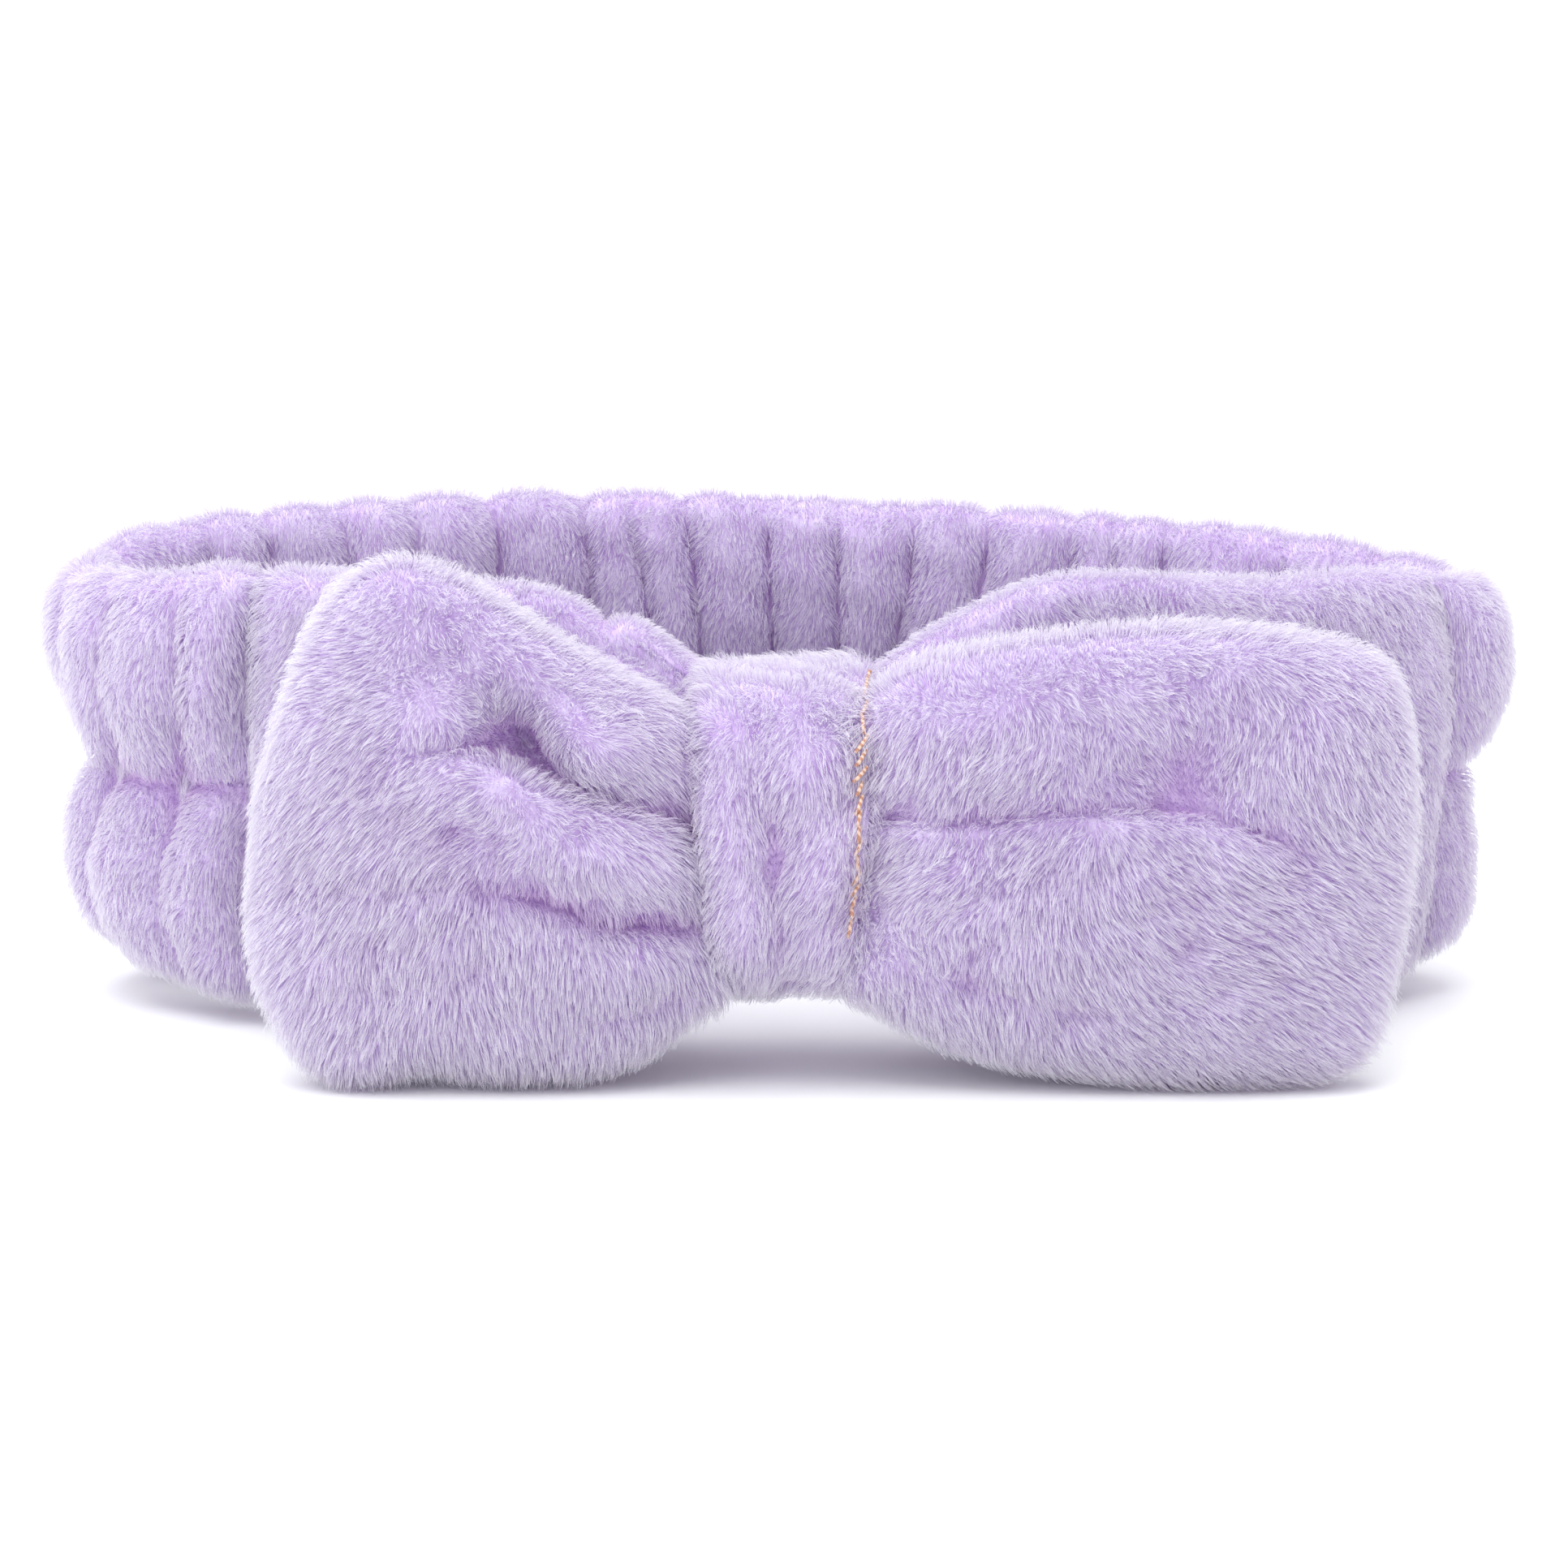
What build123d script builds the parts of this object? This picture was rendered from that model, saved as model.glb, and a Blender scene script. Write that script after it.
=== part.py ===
from build123d import *
import math
import os

# Plush spa headband with a sewn bow, in millimetres. +X is the wearer's left-to-right width seen
# from the front, the bow faces -Y, and +Z is up. The band stands on its lower edge at Z = 0.
# The origin is the bottom centre of the whole object's box.

# Band: a tube of plush, gathered on an elastic tape behind, pinched in the knot in front.
BAND_HALF_WIDTH = 98.0  # X reach of the tube's centre line
BAND_HALF_DEPTH = 38.0  # Y reach of the tube's centre line from the ring's centre
END_RADIUS = 20.0  # centre line radius at the two side bends
TUBE_HALF_THICK = 7.0
BAND_HEIGHT = 67.0
PILE_CLOTH = 3.5  # thickness of one layer of plush, pile included
WAIST_HALF_THICK = 3.8  # where the channel stitching pulls the two layers together
FLAT_SUNK = 0.3  # how much of the lower fold the surface flattens
BODY_GAP = 0.3  # room between pieces that move apart

# Elastic tape and threads.
TAPE_THICK = 1.5
TAPE_HEIGHT = 16.0
TAPE_ROOM = 0.05
THREAD_RADIUS = 0.4
CHANNEL_PITCH = 7.0
CHANNEL_STITCH = 4.5
SEAM_INSET = 0.3  # degrees of the front arc between a side seam's thread and its cut edge

# Knot and bow, measured from the ring's centre in Y.
KNOT_HALF_WIDTH = 12.0
KNOT_LOW = 11.0
KNOT_HIGH = 59.0
KNOT_CORNER = 11.0
WRAP_THICK = 3.8
PINCH_CENTRE_Z = 35.0
PINCH_HALF_HEIGHT = 19.0
PINCH_HALF_THICK = 8.0
CORE_HALF_THICK = 5.0
CORE_HALF_HEIGHT = 18.4
BOW_PLANE_FROM_RING = -54.0
KNOT_FRONT_FROM_RING = -64.0
KNOT_BACK_FROM_RING = -25.6
WING_CLOTH = 3.2
SEAM_DEPTH = 1.0
SEAM_STITCH = 2.6
SEAM_PITCH = 4.4

# The ring's centre is set so that the whole object's box is centred on the origin.
RING_Y = -(KNOT_FRONT_FROM_RING + BAND_HALF_DEPTH + TUBE_HALF_THICK) / 2

# Front length: it leaves the pinch, flares to a crest beside the knot and settles to full height.
PINCH_ANGLE = 3.6  # degrees round the front arc from its middle
CREST_ANGLE = 13.5
CREST_CENTRE_Z = 36.2
FLARE_STEPS = 6
SETTLE_STEPS = 3
LEFT_SEAM_TURN = 3.0  # degrees of the front arc that belong to the rear length
RIGHT_SEAM_TURN = 20.0  # degrees of the right-hand bend that belong to the front length

# Bow wings: distance from the middle, half thickness, half height, centre height.
LEFT_WING = [
    (KNOT_HALF_WIDTH + BODY_GAP, 5.5, 19.5, 35.0),
    (22.0, 7.6, 28.6, 32.2),
    (36.5, 9.4, 34.6, 35.4),
    (53.0, 9.6, 37.5, 38.8),
    (63.0, 8.6, 34.0, 35.6),
    (69.5, 6.0, 25.0, 31.8),
    (73.6, 3.0, 11.0, 28.0),
]
RIGHT_WING = [
    (KNOT_HALF_WIDTH + BODY_GAP, 5.5, 19.5, 35.0),
    (26.0, 8.0, 29.6, 34.6),
    (43.0, 9.4, 32.8, 34.0),
    (60.0, 9.4, 33.4, 33.7),
    (73.5, 8.0, 31.4, 33.4),
    (82.0, 5.4, 26.4, 34.6),
    (87.0, 2.8, 13.0, 36.6),
]


def oval():
    """Centre offset and radius of the two long arcs, and half their angle, in degrees."""
    across = BAND_HALF_WIDTH - END_RADIUS
    rise = BAND_HALF_DEPTH - END_RADIUS
    offset = (across**2 - rise**2) / (2 * rise)
    return offset, BAND_HALF_DEPTH + offset, math.degrees(math.atan2(across, offset))


ARC_OFFSET, ARC_RADIUS, ARC_HALF_ANGLE = oval()


class Bend:
    """One arc of the band's centre line, from one angle to another, anticlockwise from +X."""

    def __init__(self, centre_x, centre_y, radius, start, end):
        self.centre = (centre_x, centre_y)
        self.radius, self.start, self.end = radius, start, end

    def plane(self, angle):
        """A plane across the tube: local X points out of the ring and local Y is up."""
        c = math.cos(math.radians(angle))
        s = math.sin(math.radians(angle))
        at = (self.centre[0] + self.radius * c, self.centre[1] + self.radius * s, 0)
        return Plane(origin=at, x_dir=(c, s, 0), z_dir=(s, -c, 0))

    def swept(self, profile, start=None, end=None):
        """The profile carried round the arc, or round a stretch of it."""
        start = self.start if start is None else start
        end = self.end if end is None else end
        axis = Axis((*self.centre, 0), (0, 0, 1))
        return revolve(self.plane(start) * profile, axis=axis, revolution_arc=end - start)

    def length(self):
        return math.radians(self.end - self.start) * self.radius


TURN = 90 - ARC_HALF_ANGLE  # where each side bend meets the long arcs
END_X = BAND_HALF_WIDTH - END_RADIUS
BACK_GAP = math.degrees(BODY_GAP / ARC_RADIUS)
SIDE_GAP = math.degrees(BODY_GAP / END_RADIUS)
FRONT_BEND = Bend(0, RING_Y + ARC_OFFSET, ARC_RADIUS, LEFT_SEAM_TURN + TURN - 180, -TURN)
FRONT_TAIL = Bend(END_X, RING_Y, END_RADIUS, -TURN, RIGHT_SEAM_TURN - TURN)
REAR_BENDS = [
    Bend(END_X, RING_Y, END_RADIUS, RIGHT_SEAM_TURN - TURN + SIDE_GAP, TURN),
    Bend(0, RING_Y - ARC_OFFSET, ARC_RADIUS, TURN, 180 - TURN),
    Bend(-END_X, RING_Y, END_RADIUS, 180 - TURN, 180 + TURN),
    Bend(0, RING_Y + ARC_OFFSET, ARC_RADIUS, TURN - 180, LEFT_SEAM_TURN + TURN - 180 - BACK_GAP),
]


def joined(solids):
    """Solids that meet face to face, as one."""
    whole = solids[0]
    for solid in solids[1:]:
        whole = whole + solid
    return whole


def above_surface(shape):
    """The shape without what would reach below the surface that it stands on."""
    size = 4 * BAND_HALF_WIDTH
    return shape & Pos(0, 0, size / 2) * Box(size, size, size)


# Rear length: two lobes, one above and one below the stitched channel.


def lobes(half_thick, half_height):
    """The upper and the lower lobe of the gathered tube, as one flat shape."""
    quarter = BAND_HEIGHT / 4
    high = Pos(0, 3 * quarter) * Ellipse(half_thick, half_height)
    low = Pos(0, quarter - FLAT_SUNK) * Ellipse(half_thick, half_height)
    return high + low


def rear_panel_profile(side):
    """One layer of plush of the gathered tube, on the outer side (1) or the inner side (-1)."""
    middle = Pos(0, BAND_HEIGHT / 2)
    quarter = BAND_HEIGHT / 4
    tube = lobes(TUBE_HALF_THICK, quarter) + middle * Rectangle(2 * WAIST_HALF_THICK, TAPE_HEIGHT)
    hollow = lobes(TUBE_HALF_THICK - PILE_CLOTH, quarter - PILE_CLOTH)
    channel = middle * Rectangle(TAPE_THICK + 2 * TAPE_ROOM, TAPE_HEIGHT + 2 * TAPE_ROOM)
    half = Pos(side * TUBE_HALF_THICK, BAND_HEIGHT / 2) * Rectangle(2 * TUBE_HALF_THICK, BAND_HEIGHT)
    return (tube - hollow - channel) & half


def rear_panel(side):
    profile = rear_panel_profile(side)
    return above_surface(joined([bend.swept(profile) for bend in REAR_BENDS]))


def elastic_tape():
    profile = Pos(0, BAND_HEIGHT / 2) * Rectangle(TAPE_THICK, TAPE_HEIGHT)
    return joined([bend.swept(profile) for bend in REAR_BENDS])


def rear_edge_seam(height):
    profile = Pos(0, height) * Circle(THREAD_RADIUS)
    return joined([bend.swept(profile) for bend in REAR_BENDS])


def channel_stitches(side):
    """The stitches that show on one face of the band, along its middle."""
    profile = Pos(side * (WAIST_HALF_THICK + THREAD_RADIUS), BAND_HEIGHT / 2) * Circle(THREAD_RADIUS)
    stitches = []
    for bend in REAR_BENDS:
        count = int(bend.length() // CHANNEL_PITCH)
        pitch = (bend.end - bend.start) / count
        span = pitch * CHANNEL_STITCH / CHANNEL_PITCH
        for i in range(count):
            start = bend.start + (i + 0.5) * pitch - span / 2
            stitches.append(bend.swept(profile, start, start + span))
    return Compound(children=stitches)


# Front length: one plain tube, full height at the side seams and pinched at the knot.


def mixed(low, high, share):
    return low + (high - low) * share


def front_sizes(angle):
    """Centre height, half height and half thickness at an angle from the middle of the front."""
    flare = min(max((abs(angle) - PINCH_ANGLE) / (CREST_ANGLE - PINCH_ANGLE), 0), 1)
    settle = max((abs(angle) - CREST_ANGLE) / (ARC_HALF_ANGLE - CREST_ANGLE), 0)
    eased = flare * flare * (3 - 2 * flare)
    centre = mixed(PINCH_CENTRE_Z, CREST_CENTRE_Z, eased)
    half_height = mixed(PINCH_HALF_HEIGHT, BAND_HEIGHT / 2, eased)
    half_thick = mixed(PINCH_HALF_THICK, TUBE_HALF_THICK, eased)
    return mixed(centre, BAND_HEIGHT / 2, settle), half_height, half_thick


def front_angles():
    """Angles from the middle of the front arc, from the left side seam to the right bend."""
    flare = [mixed(PINCH_ANGLE, CREST_ANGLE, i / FLARE_STEPS) for i in range(FLARE_STEPS + 1)]
    right = flare + [mixed(CREST_ANGLE, ARC_HALF_ANGLE, (i + 1) / SETTLE_STEPS) for i in range(SETTLE_STEPS)]
    left = [-angle for angle in right[-2::-1]]
    return [LEFT_SEAM_TURN - ARC_HALF_ANGLE, *left, *right]


def front_loft(section):
    """A solid through section(centre height, half height, half thickness) at each angle."""
    faces = [FRONT_BEND.plane(angle - 90) * section(*front_sizes(angle)) for angle in front_angles()]
    return loft(faces, ruled=True)


def front_section(inset):
    def section(centre, half_height, half_thick):
        return Pos(0, centre) * Ellipse(half_thick - inset, half_height - inset)

    return section


def front_panels():
    """The outer and the inner layer of the front length, with the stretch past the right bend."""
    tube = front_loft(front_section(0)) - front_loft(front_section(PILE_CLOTH))
    inside = Pos(0, RING_Y + ARC_OFFSET, BAND_HEIGHT / 2) * Cylinder(ARC_RADIUS, 3 * BAND_HEIGHT)
    sizes = front_sizes(ARC_HALF_ANGLE)
    band = front_section(0)(*sizes) - front_section(PILE_CLOTH)(*sizes)
    outer_half = Pos(TUBE_HALF_THICK, BAND_HEIGHT / 2) * Rectangle(2 * TUBE_HALF_THICK, 2 * BAND_HEIGHT)
    outer = tube - inside + FRONT_TAIL.swept(band & outer_half)
    inner = tube & inside
    return outer, inner + FRONT_TAIL.swept(band - outer_half)


def front_edge_seam(side):
    """The thread inside the upper (1) or lower (-1) edge of the front length."""
    sunk = PILE_CLOTH + 2.2 * THREAD_RADIUS

    def section(centre, half_height, half_thick):
        return Pos(0, centre + side * (half_height - sunk)) * Circle(THREAD_RADIUS)

    return front_loft(section) + FRONT_TAIL.swept(section(*front_sizes(ARC_HALF_ANGLE)))


def side_seam(bend, angle):
    """The thread that joins the front and rear lengths, inside the band at an angle of a bend."""
    half_thick = TUBE_HALF_THICK - PILE_CLOTH - 0.4
    half_height = BAND_HEIGHT / 2 - PILE_CLOTH - 3
    wide = 2 * THREAD_RADIUS
    ring = Ellipse(half_thick, half_height) - Ellipse(half_thick - wide, half_height - wide)
    at = bend.plane(angle) * Pos(0, front_sizes(ARC_HALF_ANGLE - LEFT_SEAM_TURN)[0])
    return extrude(at * ring, amount=THREAD_RADIUS, both=True)


# Knot: a plush strip wrapped round the pinched band and the bow's pinched middle.


def knot_wrap():
    depth = KNOT_BACK_FROM_RING - KNOT_FRONT_FROM_RING
    height = KNOT_HIGH - KNOT_LOW
    middle = (0, RING_Y + (KNOT_BACK_FROM_RING + KNOT_FRONT_FROM_RING) / 2, (KNOT_HIGH + KNOT_LOW) / 2)
    outer = RectangleRounded(depth, height, KNOT_CORNER)
    inner = RectangleRounded(depth - 2 * WRAP_THICK, height - 2 * WRAP_THICK, KNOT_CORNER - WRAP_THICK)
    at = Plane(origin=middle, x_dir=(0, 1, 0), z_dir=(1, 0, 0))
    wrap = extrude(at * (outer - inner), amount=KNOT_HALF_WIDTH, both=True)
    rims = wrap.edges().group_by(Axis.X)
    wrap = fillet(rims[0] + rims[-1], 1.2)
    for row in (FRONT_SEAM, BACK_SEAM):
        wrap -= seam_groove(*row)
    return wrap


# Each row of stitches on the wrap: its X, the face that it is sunk in, which way is inwards, and its Z span.
FRONT_SEAM = (KNOT_HALF_WIDTH - 1.8, RING_Y + KNOT_FRONT_FROM_RING, 1, (22.4, 47.6))
BACK_SEAM = (0.0, RING_Y + KNOT_BACK_FROM_RING, -1, (22.4, 47.6))


def seam_groove(x, face_y, inwards, span):
    low, high = span
    size = (SEAM_DEPTH, SEAM_DEPTH, high - low)
    return Pos(x, face_y + inwards * SEAM_DEPTH / 2, (low + high) / 2) * Box(*size)


def seam_stitches(x, face_y, inwards, span):
    low, high = span
    count = int((high - low) // SEAM_PITCH)
    first = (low + high) / 2 - SEAM_PITCH * (count - 1) / 2
    y = face_y + inwards * (SEAM_DEPTH - THREAD_RADIUS)
    stitch = Cylinder(THREAD_RADIUS, SEAM_STITCH)
    return Compound(children=[Pos(x, y, first + i * SEAM_PITCH) * stitch for i in range(count)])


def bow_ring(half_thick, half_height, wall, x_low, x_high):
    """A ring, or with no wall a solid slug, round the bow's pinched middle."""
    face = Ellipse(half_thick, half_height)
    if wall:
        face -= Ellipse(half_thick - wall, half_height - wall)
    at = (x_low, RING_Y + BOW_PLANE_FROM_RING, PINCH_CENTRE_Z)
    return extrude(Plane(origin=at, x_dir=(0, 1, 0), z_dir=(1, 0, 0)) * face, amount=x_high - x_low)


def bow_centre():
    reach = KNOT_HALF_WIDTH
    return bow_ring(CORE_HALF_THICK, CORE_HALF_HEIGHT, 0, -reach, reach)


def gather_thread():
    """Three turns of thread that hold the bow's middle pinched."""
    wide = 2 * THREAD_RADIUS
    sizes = (CORE_HALF_THICK + wide, CORE_HALF_HEIGHT + wide, wide)
    return Compound(children=[bow_ring(*sizes, x - THREAD_RADIUS, x + THREAD_RADIUS) for x in (-3, 0, 3)])


# Bow wings: each is the two layers of the bow on one side of the knot.


def wing_loft(stations, side, inset):
    faces = []
    for x, half_thick, half_height, centre in stations:
        at = (side * x, RING_Y + BOW_PLANE_FROM_RING, centre)
        plane = Plane(origin=at, x_dir=(0, 1, 0), z_dir=(1, 0, 0))
        faces.append(plane * Ellipse(half_thick - inset, half_height - inset))
    return loft(faces if side > 0 else faces[::-1])


def wing_panels(stations, side):
    """The front and the back layer of one wing."""
    bag = wing_loft(stations, side, 0) - wing_loft(stations[:-1], side, WING_CLOTH)
    size = 2 * BAND_HALF_WIDTH
    ahead = Pos(0, RING_Y + BOW_PLANE_FROM_RING - size / 2, 0) * Box(size, size, size)
    return bag & ahead, bag - ahead


def wing_edge_seam(stations, side):
    """The thread inside the wing's outer edge, from the top of its root round to the bottom."""
    sunk = WING_CLOTH + 4 * THREAD_RADIUS
    y = RING_Y + BOW_PLANE_FROM_RING
    top = [(side * x, y, centre + half_height - sunk) for x, _, half_height, centre in stations[1:5]]
    low = [(side * x, y, centre - half_height + sunk) for x, _, half_height, centre in stations[4:0:-1]]
    path = FilletPolyline(*top, *low, radius=3)
    start = Plane(origin=path @ 0, z_dir=path % 0)
    return sweep(start * Circle(THREAD_RADIUS), path=path)


def parts():
    """Every sub-part by its node's name."""
    lobe_inner = BAND_HEIGHT / 4 - PILE_CLOTH
    seam_sunk = 1.6 * THREAD_RADIUS
    made = {
        "rear_outer_panel": rear_panel(1),
        "rear_inner_panel": rear_panel(-1),
        "rear_top_seam": rear_edge_seam(0.75 * BAND_HEIGHT + lobe_inner - seam_sunk),
        "rear_bottom_seam": rear_edge_seam(0.25 * BAND_HEIGHT - FLAT_SUNK - lobe_inner + seam_sunk),
        "elastic_tape": elastic_tape(),
        "channel_stitches_outer": channel_stitches(1),
        "channel_stitches_inner": channel_stitches(-1),
        "front_top_seam": front_edge_seam(1),
        "front_bottom_seam": front_edge_seam(-1),
        "left_side_seam": side_seam(FRONT_BEND, FRONT_BEND.start + SEAM_INSET),
        "right_side_seam": side_seam(FRONT_TAIL, FRONT_TAIL.end - SEAM_INSET * ARC_RADIUS / END_RADIUS),
        "knot_wrap": knot_wrap(),
        "knot_seam_stitches": seam_stitches(*FRONT_SEAM),
        "knot_back_stitches": seam_stitches(*BACK_SEAM),
        "bow_centre": bow_centre(),
        "bow_gather_thread": gather_thread(),
    }
    made["front_outer_panel"], made["front_inner_panel"] = front_panels()
    for name, stations, side in (("left", LEFT_WING, -1), ("right", RIGHT_WING, 1)):
        front, back = wing_panels(stations, side)
        made[f"{name}_wing_front_panel"] = front
        made[f"{name}_wing_back_panel"] = back
        made[f"{name}_wing_edge_seam"] = wing_edge_seam(stations, side)
    return made


os.makedirs("parts", exist_ok=True)
for node, shape in parts().items():
    export_step(shape, f"parts/{node}.step")
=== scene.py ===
import math

import bmesh
import bpy
import numpy as np
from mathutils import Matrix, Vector


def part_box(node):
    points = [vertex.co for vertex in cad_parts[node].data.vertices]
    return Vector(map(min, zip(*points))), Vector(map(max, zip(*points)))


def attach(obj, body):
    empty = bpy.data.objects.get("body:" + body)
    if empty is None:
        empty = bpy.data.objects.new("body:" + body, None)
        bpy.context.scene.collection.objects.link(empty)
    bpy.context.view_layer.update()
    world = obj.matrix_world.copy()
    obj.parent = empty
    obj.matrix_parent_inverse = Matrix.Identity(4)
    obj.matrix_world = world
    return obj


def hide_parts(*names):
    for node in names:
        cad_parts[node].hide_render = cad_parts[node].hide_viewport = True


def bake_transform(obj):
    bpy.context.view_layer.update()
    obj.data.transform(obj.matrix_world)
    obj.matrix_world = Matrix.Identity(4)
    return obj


# A plush spa headband with a sewn bow. The bow faces -Y, and the band stands on its lower edge at Z = 0.
# Lengths here are millimetres, and MM turns them into the frame's metres.
MM = 0.001
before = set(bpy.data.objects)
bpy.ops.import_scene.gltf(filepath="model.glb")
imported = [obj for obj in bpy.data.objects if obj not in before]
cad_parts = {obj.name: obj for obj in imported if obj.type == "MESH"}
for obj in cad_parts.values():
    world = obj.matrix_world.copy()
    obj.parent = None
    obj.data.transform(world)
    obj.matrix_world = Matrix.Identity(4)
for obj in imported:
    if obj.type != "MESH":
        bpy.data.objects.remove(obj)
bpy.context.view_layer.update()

# The camera looks at the bow from a little above, through a long lens.
CAMERA_ELEVATION = math.radians(12.5)
CAMERA_DISTANCE = 0.9
CAMERA_LENS = 143.6
CAMERA_TARGET = Vector((0.0, 0.0, 0.033))


def node_box(node):
    """A CAD node's lowest and highest corners, in millimetres."""
    low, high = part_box(node)
    return np.array(low) / MM, np.array(high) / MM


WRAP_LOW, WRAP_HIGH = node_box("knot_wrap")
BOW_Y = node_box("left_wing_front_panel")[1][1]  # the plane that the bow's two layers share
WRAP_MID_Y = (WRAP_LOW[1] + WRAP_HIGH[1]) / 2


# ---------------------------------------------------------------- smooth curves and noise


def curve_through(points, count, closed=False):
    """count rows on a Catmull-Rom curve through the rows of points."""
    p = np.array(points, float)
    n = len(p)
    t = np.linspace(0, n if closed else n - 1, count, endpoint=not closed)
    i = np.floor(t).astype(int)
    if not closed:
        i = np.minimum(i, n - 2)
    f = (t - i)[:, None]
    rows = [i - 1, i, i + 1, i + 2]
    rows = [r % n for r in rows] if closed else [np.clip(r, 0, n - 1) for r in rows]
    a, b, c, d = (p[r] for r in rows)
    return 0.5 * (2 * b + (c - a) * f + (2 * a - 5 * b + 4 * c - d) * f**2 + (3 * b - a - 3 * c + d) * f**3)


def smoothstep(x, low, high):
    """0 below low, 1 above high, and a smooth rise between them."""
    t = np.clip((x - low) / (high - low), 0, 1)
    return t * t * (3 - 2 * t)


def mix(a, b, share):
    """a where share is 0, b where it is 1, and in between for a share in between."""
    return a + (b - a) * share


WOBBLE_WAVES = 7


def wobble(points, size, seed):
    """Smooth noise from -1 to 1 at each point, with features about size across."""
    rng = np.random.default_rng(seed)
    total = np.zeros(points.shape[:-1])
    for _ in range(WOBBLE_WAVES):
        way = rng.normal(size=3)
        way /= np.linalg.norm(way)
        pitch = size * rng.uniform(0.7, 1.5)
        total += np.sin(points @ way * (2 * math.pi / pitch) + rng.uniform(0, 2 * math.pi))
    return total / math.sqrt(WOBBLE_WAVES * 1.6)


# ---------------------------------------------------------------- meshes


HOLLOW_PRESS = 1.6  # of the pile's length, for each millimetre that a point lies below the points round it
SHORTEST_PILE = 0.35
# Painted shade: the fibres' colour is deepened in hollows, where shade falls, by these two amounts.
SHADE_NARROW, SHADE_WIDE = 0.55, 0.4  # how strongly the two sizes of hollow deepen the colour
NARROW_HOLLOW, WIDE_HOLLOW = 3, 9  # how many cells of the grid each size of hollow reaches
SKIN_SHARE = 0.88  # of the texture layout, for the furred side of a layer


def grid_faces(rows, columns, first, closed):
    """The four-sided faces of a grid of points, whose numbers start at first."""
    faces = []
    for i in range(rows if closed else rows - 1):
        a = first + i * columns
        b = first + ((i + 1) % rows) * columns
        for j in range(columns - 1):
            faces.append((a + j, a + j + 1, b + j + 1, b + j))
    return faces


def layer_faces(rows, columns, closed):
    """A layer's faces: the furred side, the hidden side, and the rims that join them."""
    count = rows * columns
    faces = grid_faces(rows, columns, 0, closed)
    faces += [tuple(v + count for v in reversed(f)) for f in faces]
    rims = [[i * columns for i in range(rows)], [i * columns + columns - 1 for i in range(rows)]]
    if not closed:
        rims += [list(range(columns)), [(rows - 1) * columns + j for j in range(columns)]]
    for rim in rims:
        pairs = list(zip(rim, rim[1:]))
        if closed:
            pairs.append((rim[-1], rim[0]))
        faces += [(a, b, b + count, a + count) for a, b in pairs]
    return faces


def shell(name, outer, inner, closed=False, nap=None, pile=None):
    """A closed layer of cloth between two grids of points, in millimetres, furred on the outer one."""
    rows, columns = outer.shape[:2]
    verts = np.concatenate([outer.reshape(-1, 3), inner.reshape(-1, 3)]) * MM
    mesh = bpy.data.meshes.new(name)
    mesh.from_pydata(verts.tolist(), [], layer_faces(rows, columns, closed))
    box_layout(mesh, rows, columns, closed)
    bm = bmesh.new()
    bm.from_mesh(mesh)
    bmesh.ops.recalc_face_normals(bm, faces=bm.faces)
    bm.to_mesh(mesh)
    bm.free()
    mesh.shade_smooth()
    describe_pile(mesh, outer, inner, closed, nap, pile)
    piece = bpy.data.objects.new(name, mesh)
    bpy.context.scene.collection.objects.link(piece)
    return piece


def describe_pile(mesh, outer, inner, closed, nap, pile):
    """Where the pile lies over to, how long it is and how much painted shade deepens its colour in hollows,
    at each point of a layer.
    """
    nap = np.zeros_like(outer) + (0, 0, -1) if nap is None else nap
    pile = np.ones(outer.shape[:2]) if pile is None else pile
    narrow = hollow_depth(outer, inner, closed, NARROW_HOLLOW)
    wide = hollow_depth(outer, inner, closed, WIDE_HOLLOW)
    pile = pile * np.clip(1 - HOLLOW_PRESS * narrow, SHORTEST_PILE, 1)
    # Painted shade: how far the colour is deepened, more in deeper and wider hollows.
    shade = np.clip(SHADE_NARROW * narrow + SHADE_WIDE * wide, 0, 1)
    hidden = np.zeros(pile.size)
    put_attribute(mesh, "nap", "FLOAT_VECTOR", np.concatenate([nap.reshape(-1, 3), np.zeros((pile.size, 3))]))
    put_attribute(mesh, "pile", "FLOAT", np.concatenate([pile.ravel(), hidden]))
    put_attribute(mesh, "shade", "FLOAT", np.concatenate([shade.ravel(), hidden]))


def blurred(grid, reach, closed):
    """The grid's points averaged over the cells round them, reach cells each way."""
    wide = np.pad(grid, ((reach, reach), (0, 0), (0, 0)), mode="wrap" if closed else "edge")
    wide = np.pad(wide, ((0, 0), (reach, reach), (0, 0)), mode="edge")
    rows = sum(wide[k : k + grid.shape[0]] for k in range(2 * reach + 1))
    return sum(rows[:, k : k + grid.shape[1]] for k in range(2 * reach + 1)) / (2 * reach + 1) ** 2


def hollow_depth(outer, inner, closed, reach):
    """How many millimetres each point lies below the points round it, and 0 where it stands proud."""
    out = outer - inner
    out /= np.maximum(np.linalg.norm(out, axis=-1, keepdims=True), 1e-6)
    return np.maximum(np.sum((blurred(outer, reach, closed) - outer) * out, axis=-1), 0)


def put_attribute(mesh, name, kind, values):
    """Values kept at a mesh's points, for the pile that grows on it."""
    attribute = mesh.attributes.new(name, kind, "POINT")
    key = "vector" if kind == "FLOAT_VECTOR" else "value"
    attribute.data.foreach_set(key, np.ascontiguousarray(values, dtype=np.float32).ravel())


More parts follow.
